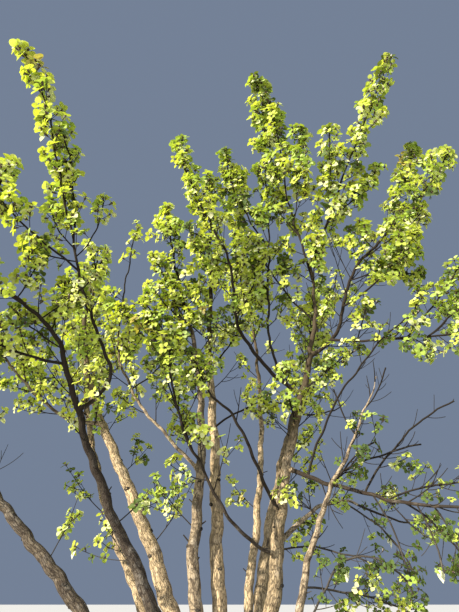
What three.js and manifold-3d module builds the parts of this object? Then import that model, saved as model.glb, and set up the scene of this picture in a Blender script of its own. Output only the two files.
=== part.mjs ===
// Handkerchief tree: ten stems that lean out of one root crown, the main boughs that
// leave them, and the masses of young foliage that the boughs and stems end in.
// Millimetres, +Z up. The origin is the middle of the flat cut at ground level, +X is the
// right of the front view and +Y points away from the viewer.
//
// Every limb and every mass grows by one rule. It starts on the ground, or at a distance
// along the limb that carries it, and runs for its length while its heading and its rise
// change evenly from each value in its row to the next. Headings are degrees round +Z from
// +X, so 90 is away from the viewer and 180 is left. Rises are degrees above level.

import * as THREE from 'three';
import { mergeVertices } from 'three/addons/utils/BufferGeometryUtils.js';
import Module from 'manifold-3d';

const wasm = await Module();
wasm.setup();

// Driving dimensions of the limbs
const GAP = 0.3;
const CROWN_TOP = 350;
const FLARE = 0.6;
const FLARE_HEIGHT = 130;
const FLARE_RINGS = [-150, 0, 120, 370];
const STEM_RING_SPACING = 500;
const BOUGH_RING_SPACING = 330;
const SHOOT_RING_SPACING = 480;
const STEM_SIDES = 8;
const BOUGH_SIDES = 6;
const SHOOT_SIDES = 3;
const GROWTH_STEPS = 24;

// Root crown: a low mound that joins the feet, and a buttress on the outside of each stem
const MOUND = { radius: 430, height: 170, sides: 12, rings: 4 };
const BUTTRESS = {
  reach: 330, rootRadius: 75, endRadius: 28, startHeight: 150, endHeight: -20, sides: 4,
};

// Foliage: each spray is one thin kite that stands for a rosette or a short leafy twig.
// broadest is the share of its length where the kite is widest.
const SPRAY = { length: 340, width: 280, thickness: 9, broadest: 0.42 };

// Twigs: rootShare is a twig's radius as a share of its carrier's, least is the shortest
// neck below a spray, stalk the shortest neck that is a thin twig of its own, and forked
// the shortest that carries a side spray, at forkShare of its length
const TWIG = {
  sides: 3, rootShare: 0.45, neckRadius: 6, least: 40, stalk: 90, forked: 150,
  forkShare: 0.6, forkTurn: 0.8, roll: 70, retries: [0, 50, 100, 150, 200, 250, 300],
};

// Habit: twigs lean off a shoot by footLean degrees at its foot and tipLean at its tip,
// and stand out by the mass's reach at the foot and by tipReach of it at the tip
const HABIT = {
  footLean: 68, tipLean: 38, leanScatter: 14, turnScatter: 40, tipReach: 0.62, leastReach: 0.75,
};
const GOLDEN_ANGLE = 137.5;
const SHOOT_TIP_RADIUS = 7;
const TOP_ROOM = 0.75;
const TOP_FACE = { heading: -100, rise: 20 };
const TWIG_CLEARANCE = 22;
const SPACE_MARGIN = 24;
const SEED = { first: 1000, step: 77 };
const FINEST_EDGE = 0.05;

// Bark and leaf colours, and how rough they are
const PALE_BARK = 0xb09a7c;
const BROWN_BARK = 0x8d7358;
const DARK_BARK = 0x6a5849;
const GREY_BARK = 0x9a8f83;
const LEAF_GREEN = 0x9fb83a;
const LEAF_SHADE = 0x7f9a35;
const TWIG_BROWN = 0x75614e;
const BARK_ROUGHNESS = 0.95;
const LEAF_ROUGHNESS = 0.6;

// Stems: foot is the place on the ground, girth and tip are diameters at foot and top
const STEMS = [
  { name: 'far_left_stem', foot: [-360, 60], length: 5450, girth: 175, tip: 45,
    heading: [185, 165], rise: [55, 51, 41, 68, 75], color: BROWN_BARK },
  { name: 'front_left_stem', foot: [-270, -190], length: 4750, girth: 190, tip: 48,
    heading: [-170, -125], rise: [70, 74, 56, 63, 66, -5], color: DARK_BARK },
  { name: 'left_stem', foot: [-220, 120], length: 5700, girth: 200, tip: 42,
    heading: [170, 155], rise: [77, 71, 62, 59, 74, 97], color: BROWN_BARK },
  { name: 'back_left_stem', foot: [-240, 360], length: 6400, girth: 150, tip: 38,
    heading: [170, 115], rise: [68, 56, 61, 72, 92], color: DARK_BARK },
  { name: 'mid_left_stem', foot: [-100, -100], length: 4550, girth: 170, tip: 42,
    heading: [155, 140], rise: [80, 76, 97, 84, 72], color: GREY_BARK },
  { name: 'middle_stem', foot: [0, 100], length: 4900, girth: 185, tip: 52,
    heading: [165, 115], rise: [80, 86, 88, 81, 97], color: PALE_BARK },
  { name: 'back_middle_stem', foot: [30, 380], length: 5450, girth: 120, tip: 32,
    heading: [35, 110], rise: [90, 72, 70, 77], color: BROWN_BARK },
  { name: 'back_right_stem', foot: [200, 220], length: 6050, girth: 165, tip: 40,
    heading: [65, 45], rise: [96, 66, 60, 68], color: BROWN_BARK },
  { name: 'main_stem', foot: [220, -70], length: 5250, girth: 215, tip: 50,
    heading: [-35, 30], rise: [88, 83, 82, 73, 77, 99], color: PALE_BARK },
  { name: 'right_stem', foot: [250, -340], length: 3600, girth: 140, tip: 22,
    heading: [-15, -30], rise: [76, 79, 72, 57, 66], color: GREY_BARK },
];

// Boughs: on names the limb that carries the bough and along is how far up that limb
const BOUGHS = [
  { name: 'high_left_bough', on: 'front_left_stem', along: 3350, length: 1950, girth: 55,
    tip: 30, heading: [-215, -145, -125], rise: [180, 62, 63, 71], color: DARK_BARK },
  { name: 'crossing_bough', on: 'left_stem', along: 3600, length: 1400, girth: 60,
    tip: 30, heading: [-155, -155, -135], rise: [-11, 21, 43, 36], color: BROWN_BARK },
  { name: 'inner_left_bough', on: 'mid_left_stem', along: 2650, length: 2150, girth: 56,
    tip: 28, heading: [175, 165, 170], rise: [47, 45, 62, 87], color: GREY_BARK },
  { name: 'slender_bough', on: 'main_stem', along: 1850, length: 2000, girth: 52,
    tip: 25, heading: [-140, -155, -150], rise: [3, 52, 60, 76], color: DARK_BARK },
  { name: 'drooping_bough', on: 'main_stem', along: 2200, length: 1350, girth: 56,
    tip: 28, heading: [-135, -130, -165], rise: [40, 60, 33], color: DARK_BARK },
  { name: 'left_fork_bough', on: 'main_stem', along: 3450, length: 2250, girth: 66,
    tip: 34, heading: [-190, -150, -180], rise: [37, 52, 92, 63], color: DARK_BARK },
  { name: 'inner_leader_bough', on: 'left_fork_bough', along: 250, length: 2150, girth: 46,
    tip: 28, heading: [175, 55, 45], rise: [69, 87, 82], color: DARK_BARK },
  { name: 'right_leader_bough', on: 'main_stem', along: 5250, length: 1550, girth: 46,
    tip: 30, heading: [-10, -15], rise: [63, 73], color: DARK_BARK },
  { name: 'mid_leader_bough', on: 'main_stem', along: 5000, length: 1400, girth: 46,
    tip: 28, heading: [-180, -190], rise: [78, 80], color: DARK_BARK },
  { name: 'long_right_bough', on: 'main_stem', along: 3950, length: 2150, girth: 64,
    tip: 32, heading: [-15, -30, 5], rise: [20, 82, 44, 50], color: BROWN_BARK },
  { name: 'level_right_bough', on: 'long_right_bough', along: 300, length: 1100, girth: 42,
    tip: 24, heading: [-55, -30, -40], rise: [-22, -11, -8], color: DARK_BARK },
  { name: 'sweeping_bough', on: 'main_stem', along: 2650, length: 1550, girth: 66,
    tip: 30, heading: [-45, -35, -35], rise: [-25, -21, -17, -11], color: BROWN_BARK },
  { name: 'lower_right_bough', on: 'main_stem', along: 1950, length: 1200, girth: 78,
    tip: 32, heading: [35, 35, 15], rise: [29, 34, -17], color: DARK_BARK },
];

// Foliage masses: with no along the mass starts at the tip of the limb that carries it.
// reach is how far the twigs stand out, bare is the twigless share of the shoot, twigs is
// how many leave it, and girth is the shoot's diameter where it isn't the limb's own tip.
// size enlarges the sprays of a broad mass, and leafy is the share of twigs that have one.
const MASSES = [
  { name: 'high_left_foliage', on: 'high_left_bough', length: 2550, reach: 330, bare: 0.04,
    twigs: 16, heading: [-125, -150, -155], rise: [65, 75, 55] },
  { name: 'left_arm_foliage', on: 'high_left_bough', along: 1600, length: 1800, reach: 480,
    bare: 0.35, twigs: 9, girth: 31, heading: [-150, -170, -200], rise: [30, 40, 115] },
  { name: 'left_shoot_foliage', on: 'high_left_bough', along: 1750, length: 900, reach: 330,
    bare: 0.2, twigs: 7, girth: 19, heading: [15, 15], rise: [55, 100] },
  { name: 'front_left_foliage', on: 'front_left_stem', length: 1300, reach: 560, bare: 0.08,
    twigs: 9, size: 1.2, heading: [-180, -160], rise: [10, 85] },
  { name: 'low_left_foliage', on: 'front_left_stem', along: 3800, length: 1100, reach: 430,
    bare: 0.3, twigs: 8, girth: 41, heading: [-140, -165, -165], rise: [-5, 15, 45] },
  { name: 'crossing_foliage', on: 'crossing_bough', length: 1150, reach: 480, bare: 0.08,
    twigs: 8, size: 1.15, heading: [-145, -150], rise: [40, 80] },
  { name: 'far_left_foliage', on: 'far_left_stem', length: 1500, reach: 620, bare: 0.05,
    twigs: 9, size: 1.3, heading: [175, 160], rise: [75, 85] },
  { name: 'left_foliage', on: 'left_stem', length: 900, reach: 520, bare: 0.08,
    twigs: 8, size: 1.2, heading: [95, 95], rise: [80, 95] },
  { name: 'back_left_foliage', on: 'back_left_stem', length: 1250, reach: 600, bare: 0.08,
    twigs: 9, size: 1.3, heading: [110, 55], rise: [65, 70] },
  { name: 'rear_left_foliage', on: 'back_left_stem', along: 4600, length: 2000, reach: 620,
    bare: 0.3, twigs: 9, size: 1.3, girth: 48, heading: [110, 135], rise: [55, 40] },
  { name: 'inner_left_foliage', on: 'inner_left_bough', length: 1850, reach: 480, bare: 0.05,
    twigs: 13, size: 1.25, heading: [110, 60], rise: [85, 80] },
  { name: 'mid_left_foliage', on: 'mid_left_stem', length: 2000, reach: 500, bare: 0.05,
    twigs: 12, size: 1.15, heading: [175, 155], rise: [75, 80] },
  { name: 'slender_foliage', on: 'slender_bough', length: 600, reach: 430, bare: 0.1,
    twigs: 7, size: 1.2, heading: [-165, -145], rise: [75, 105] },
  { name: 'drooping_foliage', on: 'drooping_bough', length: 620, reach: 430, bare: 0.1,
    twigs: 7, size: 1.05, heading: [-190, -185], rise: [60, 75] },
  { name: 'middle_foliage', on: 'middle_stem', length: 2250, reach: 480, bare: 0.05,
    twigs: 14, size: 1.15, heading: [95, 105], rise: [80, 90] },
  { name: 'left_fork_foliage', on: 'left_fork_bough', length: 2000, reach: 360, bare: 0.05,
    twigs: 13, heading: [165, 180], rise: [65, 75] },
  { name: 'inner_leader_foliage', on: 'inner_leader_bough', length: 3300, reach: 430,
    bare: 0.05, twigs: 19, heading: [175, 175], rise: [90, 90] },
  { name: 'inner_side_foliage', on: 'inner_leader_bough', along: 1300, length: 2600,
    reach: 420, bare: 0.2, twigs: 12, size: 1.1, girth: 27, heading: [130, 125], rise: [55, 100] },
  { name: 'mid_leader_foliage', on: 'mid_leader_bough', length: 1600, reach: 360, bare: 0.06,
    twigs: 10, heading: [-105, -150], rise: [75, 85] },
  { name: 'mid_side_foliage', on: 'mid_leader_bough', along: 900, length: 1550, reach: 330,
    bare: 0.25, twigs: 9, girth: 20, heading: [-60, -65], rise: [70, 85] },
  { name: 'right_inner_foliage', on: 'right_leader_bough', along: 1100, length: 1050,
    reach: 330, bare: 0.2, twigs: 8, girth: 20, heading: [-130, -55], rise: [50, 80] },
  { name: 'right_leader_foliage', on: 'right_leader_bough', length: 2400, reach: 400,
    bare: 0.04, twigs: 16, heading: [-20, 0], rise: [65, 70] },
  { name: 'long_right_foliage', on: 'long_right_bough', length: 1450, reach: 430, bare: 0.05,
    twigs: 11, heading: [0, -10], rise: [45, 60] },
  { name: 'right_shoot_foliage', on: 'long_right_bough', along: 1900, length: 2100,
    reach: 430, bare: 0.2, twigs: 11, size: 1.15, girth: 24, heading: [45, 5], rise: [60, 70] },
  { name: 'outer_right_foliage', on: 'long_right_bough', along: 750, length: 1350,
    reach: 450, bare: 0.35, twigs: 9, size: 1.15, girth: 34, heading: [-50, -30, 0], rise: [0, 45, 50] },
  { name: 'level_right_foliage', on: 'level_right_bough', length: 950, reach: 480,
    bare: 0.08, twigs: 8, size: 1.15, heading: [-25, -10], rise: [-5, 15] },
  { name: 'rising_twigs', on: 'sweeping_bough', along: 300, length: 2000, reach: 420,
    bare: 0.45, twigs: 7, girth: 35, leafy: 0.35, heading: [-25, -35, -20], rise: [73, 48, 35] },
  { name: 'sweeping_foliage', on: 'sweeping_bough', length: 1150, reach: 520, bare: 0.06,
    twigs: 9, size: 1.2, heading: [-25, -25], rise: [-5, -35] },
  { name: 'lower_right_foliage', on: 'lower_right_bough', length: 1000, reach: 520,
    bare: 0.06, twigs: 8, size: 1.2, heading: [15, 5], rise: [-20, -5] },
  { name: 'low_hanging_foliage', on: 'right_stem', along: 1000, length: 1700, reach: 480,
    bare: 0.25, twigs: 9, girth: 30, heading: [0, -40, -10], rise: [65, 50, -80] },
  { name: 'out_right_twigs', on: 'right_stem', along: 2600, length: 900, reach: 330,
    bare: 0.3, twigs: 7, girth: 27, leafy: 0.5, heading: [-35, -25], rise: [20, 5] },
  { name: 'cross_right_foliage', on: 'middle_stem', along: 3150, length: 1250, reach: 430,
    bare: 0.35, twigs: 9, girth: 34, heading: [-40, -35, -25], rise: [30, 5, -35] },
  { name: 'back_middle_foliage', on: 'back_middle_stem', length: 1400, reach: 640,
    bare: 0.05, twigs: 9, size: 1.35, heading: [135, 130], rise: [70, 85] },
  { name: 'rear_middle_foliage', on: 'back_middle_stem', along: 3600, length: 2000,
    reach: 640, bare: 0.3, twigs: 9, size: 1.35, girth: 41, heading: [110, 120], rise: [45, 45] },
  { name: 'back_right_foliage', on: 'back_right_stem', length: 1450, reach: 640, bare: 0.05,
    twigs: 9, size: 1.35, heading: [30, 35], rise: [45, 95] },
  { name: 'rear_right_foliage', on: 'back_right_stem', along: 3900, length: 1950,
    reach: 640, bare: 0.3, twigs: 9, size: 1.35, girth: 44, heading: [50, 20], rise: [0, 55] },
];

// Small mathematics
const TRIANGLE = { width: Math.sqrt(3), height: 1.5 };
const radians = THREE.MathUtils.degToRad;
const mix = THREE.MathUtils.lerp;

function direction(heading, rise) {
  const level = Math.cos(radians(rise));
  return new THREE.Vector3(
    level * Math.cos(radians(heading)),
    level * Math.sin(radians(heading)),
    Math.sin(radians(rise)),
  );
}

function valueAlong(values, share) {
  const place = Math.min(Math.max(share, 0), 1) * (values.length - 1);
  const before = Math.min(Math.floor(place), values.length - 2);
  return mix(values[before], values[before + 1], place - before);
}

// A centreline is the growth rule's points, evenly spaced, with the limb's length
function growLine(start, row) {
  const step = row.length / GROWTH_STEPS;
  const points = [start.clone()];
  for (let i = 0; i < GROWTH_STEPS; i += 1) {
    const share = (i + 0.5) / GROWTH_STEPS;
    const way = direction(valueAlong(row.heading, share), valueAlong(row.rise, share));
    points.push(points[i].clone().addScaledVector(way, step));
  }
  return { points, length: row.length };
}

// A distance below 0 or past the tip runs on straight
function pointAt(line, distance) {
  const place = (distance / line.length) * GROWTH_STEPS;
  const before = Math.min(Math.max(Math.floor(place), 0), GROWTH_STEPS - 1);
  const from = line.points[before];
  return from.clone().lerp(line.points[before + 1], place - before);
}

// The same on the straight stretches between a limb's rings
function pointOnChords(line, distances, distance) {
  const after = Math.max(distances.findIndex((ring) => ring >= distance), 1);
  const share = (distance - distances[after - 1]) / (distances[after] - distances[after - 1]);
  return pointAt(line, distances[after - 1]).lerp(pointAt(line, distances[after]), share);
}

function wayAt(line, distance) {
  const half = line.length / GROWTH_STEPS / 2;
  return pointAt(line, distance + half).sub(pointAt(line, distance - half)).normalize();
}

// A repeatable stream of numbers from 0 to 1
let seed = 1;
function chance() {
  seed = (seed * 48271) % 2147483647;
  return seed / 2147483647;
}

// Solids
function toSolid(geometry) {
  const shape = geometry.clone();
  shape.deleteAttribute('normal');
  shape.deleteAttribute('uv');
  const merged = mergeVertices(shape);
  return new wasm.Manifold(new wasm.Mesh({
    numProp: 3,
    vertProperties: new Float32Array(merged.attributes.position.array),
    triVerts: new Uint32Array(merged.index.array),
  }));
}

// A closed cylinder is bent onto the centreline, one ring of its vertices at each distance
function limbSolid(line, distances, radiusAt, sides) {
  const rings = distances.length - 1;
  const geometry = new THREE.CylinderGeometry(1, 1, rings, sides, rings);
  const centres = distances.map((distance) => pointAt(line, distance));
  const ways = distances.map((distance) => wayAt(line, distance));
  const across = [new THREE.Vector3(1, 0, 0).cross(ways[0]).normalize()];
  for (let i = 1; i <= rings; i += 1) {
    const turned = new THREE.Quaternion().setFromUnitVectors(ways[i - 1], ways[i]);
    across.push(across[i - 1].clone().applyQuaternion(turned));
  }
  const place = geometry.attributes.position;
  for (let i = 0; i < place.count; i += 1) {
    const ring = Math.round(place.getY(i) + rings / 2);
    const radius = radiusAt(distances[ring]);
    const side = across[ring];
    const other = new THREE.Vector3().crossVectors(side, ways[ring]);
    const point = centres[ring].clone()
      .addScaledVector(side, place.getX(i) * radius)
      .addScaledVector(other, place.getZ(i) * radius);
    place.setXYZ(i, point.x, point.y, point.z);
  }
  return toSolid(geometry);
}

function evenly(from, to, spacing) {
  const count = Math.max(2, Math.round((to - from) / spacing));
  return Array.from({ length: count + 1 }, (_, i) => mix(from, to, i / count));
}

function largestBody(solid) {
  const bodies = solid.simplify(FINEST_EDGE).decompose();
  return bodies.reduce((best, body) => (body.volume() > best.volume() ? body : best));
}

function toMesh(solid, name, color, roughness) {
  const { vertProperties, triVerts } = largestBody(solid).getMesh();
  const geometry = new THREE.BufferGeometry();
  geometry.setAttribute('position', new THREE.BufferAttribute(vertProperties, 3));
  geometry.setIndex(new THREE.BufferAttribute(triVerts, 1));
  geometry.computeVertexNormals();
  const material = new THREE.MeshStandardMaterial({ color, roughness, metalness: 0 });
  const mesh = new THREE.Mesh(geometry, material);
  mesh.name = name;
  return mesh;
}

// Limbs: each keeps its line, its radius by distance, its solid and the same solid
// grown by the gap, which is cut from what meets it
const limbs = new Map();

function taper(row) {
  return (distance) => mix(row.girth, row.tip, Math.min(Math.max(distance / row.length, 0), 1)) / 2;
}

function stemRadius(row) {
  const plain = taper(row);
  return (distance) => plain(distance) * (1 + FLARE * Math.exp(-Math.max(distance, 0) / FLARE_HEIGHT));
}

function keepLimb(row, line, distances, radiusAt, sides) {
  const solid = limbSolid(line, distances, radiusAt, sides);
  const last = distances.length - 1;
  const grownEnds = distances.map((distance, i) => distance + (i === last ? GAP : 0) - (i === 0 ? GAP : 0));
  const grown = limbSolid(line, grownEnds, (distance) => radiusAt(distance) + GAP, sides);
  const limb = { row, line, radiusAt, solid, grown, carried: [] };
  limbs.set(row.name, limb);
  return limb;
}

function makeStem(row) {
  const line = growLine(new THREE.Vector3(row.foot[0], row.foot[1], 0), row);
  const above = evenly(FLARE_RINGS.at(-1), row.length, STEM_RING_SPACING).slice(1);
  return keepLimb(row, line, [...FLARE_RINGS, ...above], stemRadius(row), STEM_SIDES);
}

function startLine(row) {
  const carrier = limbs.get(row.on);
  return growLine(pointAt(carrier.line, row.along ?? carrier.row.length), row);
}

// What leaves a limb is cut clear of it and of what already leaves it
function cutClear(solid, row) {
  const carrier = limbs.get(row.on);
  return [carrier, ...carrier.carried].reduce((left, limb) => left.subtract(limb.grown), solid);
}

function makeBough(row) {
  const line = startLine(row);
  const limb = keepLimb(row, line, evenly(0, row.length, BOUGH_RING_SPACING), taper(row), BOUGH_SIDES);
  limb.solid = cutClear(limb.solid, row);
  limbs.get(row.on).carried.push(limb);
  return limb;
}

// Root crown
function buttress(row) {
  const foot = new THREE.Vector3(row.foot[0], row.foot[1], 0);
  const outward = foot.clone().normalize();
  const from = foot.clone().setZ(BUTTRESS.startHeight);
  const to = foot.clone().addScaledVector(outward, BUTTRESS.reach).setZ(BUTTRESS.endHeight);
  const points = Array.from({ length: GROWTH_STEPS + 1 }, (_, i) => from.clone().lerp(to, i / GROWTH_STEPS));
  const line = { points, length: from.distanceTo(to) };
  const radiusAt = (distance) => mix(BUTTRESS.rootRadius, BUTTRESS.endRadius, distance / line.length);
  return limbSolid(line, [0, line.length], radiusAt, BUTTRESS.sides);
}

function makeRootCrown(stems) {
  const mound = new THREE.SphereGeometry(1, MOUND.sides, MOUND.rings);
  mound.rotateX(Math.PI / 2);
  mound.scale(MOUND.radius, MOUND.radius, MOUND.height);
  const outer = stems.filter((stem) => Math.hypot(...stem.row.foot) > MOUND.radius / 2);
  const feet = stems.map((stem) => stem.solid);
  const buttresses = outer.map((stem) => buttress(stem.row));
  const joined = wasm.Manifold.union([toSolid(mound), ...feet, ...buttresses]);
  return joined.trimByPlane([0, 0, 1], 0).trimByPlane([0, 0, -1], -CROWN_TOP);
}

// Foliage
// A twig is one three-sided cone: thin from its root to the neck, and from the neck to the
// tip a broad flat spray, or where it is bare just as thin. Its corners are the places that
// must be free.
function makeTwig(root, way, face, neck, hostRadius, size, isBare) {
  const spread = isBare ? TWIG.neckRadius : (SPRAY.width / 2) * size;
  const tip = neck + SPRAY.length * size;
  const rootRadius = hostRadius * TWIG.rootShare;
  const shoulder = neck + SPRAY.length * size * SPRAY.broadest;
  const leafyRings = [
    { at: neck, across: TWIG.neckRadius, thick: TWIG.neckRadius },
    { at: shoulder, across: (2 * spread) / TRIANGLE.width, thick: SPRAY.thickness / TRIANGLE.height },
  ].filter((ring) => ring.at !== neck || neck > TWIG.stalk);
  const rings = [
    { at: 0, across: rootRadius, thick: rootRadius },
    ...(isBare ? [] : leafyRings),
    { at: tip, across: 0, thick: 0 },
  ];
  const last = rings.length - 1;
  const geometry = new THREE.CylinderGeometry(0, 1, last, TWIG.sides, last);
  const place = geometry.attributes.position;
  for (let i = 0; i < place.count; i += 1) {
    const number = Math.round(place.getY(i) + last / 2);
    const ring = rings[number];
    const even = number < last ? last / (last - number) : 0;
    place.setXYZ(i, place.getX(i) * even * ring.across, ring.at, place.getZ(i) * even * ring.thick);
  }
  const across = new THREE.Vector3().crossVectors(way, face).normalize();
  const up = new THREE.Vector3().crossVectors(across, way);
  geometry.applyMatrix4(new THREE.Matrix4().makeBasis(across, way, up).setPosition(root));
  const broad = root.clone().addScaledVector(way, shoulder);
  return {
    solid: toSolid(geometry),
    corners: [
      root.clone().addScaledVector(way, tip / 2),
      root.clone().addScaledVector(way, tip),
      broad.clone().addScaledVector(across, spread),
      broad.clone().addScaledVector(across, -spread),
    ],
  };
}

function distanceToLine(point, line) {
  const segment = new THREE.Line3();
  const nearest = new THREE.Vector3();
  let least = Infinity;
  for (let i = 0; i < GROWTH_STEPS; i += 2) {
    segment.set(line.points[i], line.points[i + 2]);
    segment.closestPointToPoint(point, true, nearest);
    least = Math.min(least, nearest.distanceTo(point));
  }
  return least;
}

// A point is free where it stands clear of every limb and nearer to its own shoot than
// to any other mass's shoot
function isFree(point, own, lines) {
  for (const limb of limbs.values()) {
    for (let i = 0; i <= GROWTH_STEPS; i += 1) {
      const room = limb.radiusAt((i / GROWTH_STEPS) * limb.row.length) + TWIG_CLEARANCE;
      const step = limb.row.length / GROWTH_STEPS / 2;
      if (limb.line.points[i].distanceTo(point) < Math.hypot(room, step)) return false;
    }
  }
  const home = distanceToLine(point, own);
  return lines.every((line) => line === own || distanceToLine(point, line) > home + SPACE_MARGIN);
}

// One mass: a shoot, twigs round it by the golden angle with a side spray on each of the
// longer ones, and a spray that ends at the shoot's tip
function makeMass(row, line, lines, number) {
  seed = SEED.first + SEED.step * number;
  const size = row.size ?? 1;
  const girth = row.girth ?? limbs.get(row.on).row.tip;
  const radiusAt = (distance) => mix(girth / 2, SHOOT_TIP_RADIUS, distance / row.length);
  const joints = evenly(0, row.length, SHOOT_RING_SPACING);
  const shoot = limbSolid(line, joints, radiusAt, SHOOT_SIDES);
  const pieces = [cutClear(shoot, row)];
  const lastRoot = 1 - (SPRAY.length * size * TOP_ROOM) / row.length;

  // A twig stays where it is free and crosses no twig but the one that carries it
  const add = (root, way, face, neck, hostRadius, host, isBare) => {
    const twig = makeTwig(root, way, face, neck, hostRadius, size, isBare);
    const crosses = (piece) => piece !== host && !piece.intersect(twig.solid).isEmpty();
    if (!twig.corners.every((corner) => isFree(corner, line, lines))) return null;
    if (pieces.slice(1).some(crosses)) return null;
    pieces.push(twig.solid);
    return twig.solid;
  };

  for (let i = 0; i < row.twigs; i += 1) {
    const share = mix(row.bare, lastRoot, (i + 0.5) / row.twigs);
    const distance = share * row.length;
    const root = pointOnChords(line, joints, distance);
    const along = wayAt(line, distance);
    const level = new THREE.Vector3(0, 1, 0).cross(along).normalize();
    const turn = i * GOLDEN_ANGLE + HABIT.turnScatter * (chance() - 0.5);
    const tilt = mix(HABIT.footLean, HABIT.tipLean, share) + HABIT.leanScatter * (chance() - 0.5);
    const lean = radians(tilt);
    const stretch = row.reach * mix(1, HABIT.tipReach, share) * mix(HABIT.leastReach, 1, chance());
    const neck = Math.max(TWIG.least, stretch / Math.sin(lean) - SPRAY.length * size);
    const roll = radians(TWIG.roll * (chance() - 0.5));
    const isBare = chance() > (row.leafy ?? 1);
    for (const retry of TWIG.retries) {
      const outward = level.clone().applyAxisAngle(along, radians(turn + retry));
      const way = along.clone().multiplyScalar(Math.cos(lean)).addScaledVector(outward, Math.sin(lean));
      const face = along.clone().applyAxisAngle(way, roll);
      const twig = add(root, way, face, neck, radiusAt(distance), null, isBare);
      if (!twig) continue;
      if (neck > TWIG.forked) {
        const middle = root.clone().addScaledVector(way, neck * TWIG.forkShare);
        const forkWay = way.clone().lerp(along, TWIG.forkTurn).normalize();
        add(middle, forkWay, outward, TWIG.least, TWIG.neckRadius, twig, isBare);
      }
      break;
    }
  }
  const top = pointOnChords(line, joints, lastRoot * row.length);
  const topFace = direction(TOP_FACE.heading, TOP_FACE.rise);
  add(top, wayAt(line, row.length), topFace, TWIG.least, SHOOT_TIP_RADIUS, null, row.leafy < 1);
  return wasm.Manifold.union(pieces);
}

// Assembly
const tree = new THREE.Group();

const stems = STEMS.map(makeStem);
const rootCrown = makeRootCrown(stems);
tree.add(toMesh(rootCrown, 'root_crown', BROWN_BARK, BARK_ROUGHNESS));
for (const stem of stems) {
  const standing = stem.solid.trimByPlane([0, 0, 1], CROWN_TOP + GAP);
  tree.add(toMesh(standing, stem.row.name, stem.row.color, BARK_ROUGHNESS));
}

for (const row of BOUGHS) {
  const bough = makeBough(row);
  tree.add(toMesh(bough.solid, row.name, row.color, BARK_ROUGHNESS));
}

const shoots = MASSES.map(startLine);
MASSES.forEach((row, number) => {
  const mass = makeMass(row, shoots[number], shoots, number);
  const color = row.leafy ? TWIG_BROWN : [LEAF_GREEN, LEAF_SHADE][number % 2];
  tree.add(toMesh(mass, row.name, color, LEAF_ROUGHNESS));
});

export default tree;
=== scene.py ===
"""Handkerchief tree in young leaf: bark, twigs, leaf rosettes, bud scales and bracts.

Metres, +Z up. The origin is the middle of the flat cut at ground level, +X is the right of
the front view and +Y points away from the viewer.
"""

import functools
import math

import bmesh
import bpy
import numpy as np
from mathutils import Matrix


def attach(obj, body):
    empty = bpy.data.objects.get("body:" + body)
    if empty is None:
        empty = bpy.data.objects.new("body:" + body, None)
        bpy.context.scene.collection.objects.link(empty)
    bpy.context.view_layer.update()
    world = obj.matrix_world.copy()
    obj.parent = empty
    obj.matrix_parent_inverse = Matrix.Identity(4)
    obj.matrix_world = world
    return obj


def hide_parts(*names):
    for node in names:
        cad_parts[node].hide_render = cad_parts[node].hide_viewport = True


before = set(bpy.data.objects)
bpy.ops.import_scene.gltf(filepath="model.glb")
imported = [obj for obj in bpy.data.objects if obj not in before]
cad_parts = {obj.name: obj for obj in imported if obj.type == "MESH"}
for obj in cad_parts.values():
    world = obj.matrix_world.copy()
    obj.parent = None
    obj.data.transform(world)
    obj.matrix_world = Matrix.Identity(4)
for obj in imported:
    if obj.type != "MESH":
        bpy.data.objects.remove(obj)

bl_info = {
    "name": "Handkerchief Tree",
    "version": (1, 0, 0),
    "blender": (4, 5, 0),
    "location": "View3D > Sidebar > Tree",
    "description": "Grows the bark, twigs, leaves and bracts of a young-leaved handkerchief tree",
    "category": "Add Mesh",
}

BODY = "root"


def table(columns, *rows):
    """Rows as dictionaries by their columns' names. A short row leaves its last columns out."""
    return [dict(zip(columns.split(), row)) for row in rows]


# Growth rule: a limb runs for its length while its heading and rise change evenly from each
# value of its row to the next. Headings are degrees round +Z from +X, rises above level. Its
# girth changes evenly to the one at its tip, bark is the slot of its material, and finish is the
# bark that it shows where that is another
STEMS = table(
    "name foot length girth tip heading rise bark finish",
    ("far_left_stem", (-0.36, 0.06), 5.45, 0.175, 0.045, (185, 165), (55, 51, 41, 68, 75), "brown_bark"),
    ("front_left_stem", (-0.27, -0.19), 4.75, 0.19, 0.048,
     (-170, -125), (70, 74, 56, 63, 66, -5), "dark_bark"),
    ("left_stem", (-0.22, 0.12), 5.7, 0.2, 0.042,
     (170, 155), (77, 71, 62, 59, 74, 97), "brown_bark", "pale_bark"),
    ("back_left_stem", (-0.24, 0.36), 6.4, 0.15, 0.038,
     (170, 115), (68, 56, 61, 72, 92), "dark_bark", "pale_bark"),
    ("mid_left_stem", (-0.1, -0.1), 4.55, 0.17, 0.042, (155, 140), (80, 76, 97, 84, 72), "grey_bark"),
    ("middle_stem", (0.0, 0.1), 4.9, 0.185, 0.052, (165, 115), (80, 86, 88, 81, 97), "pale_bark"),
    ("back_middle_stem", (0.03, 0.38), 5.45, 0.12, 0.032,
     (35, 110), (90, 72, 70, 77), "brown_bark", "pale_bark"),
    ("back_right_stem", (0.2, 0.22), 6.05, 0.165, 0.04,
     (65, 45), (96, 66, 60, 68), "brown_bark", "main_bark"),
    ("main_stem", (0.22, -0.07), 5.25, 0.215, 0.05,
     (-35, 30), (88, 83, 82, 73, 77, 99), "pale_bark", "main_bark"),
    ("right_stem", (0.25, -0.34), 3.6, 0.14, 0.010, (-15, -30), (76, 79, 72, 57, 66), "grey_bark"),
)

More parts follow.
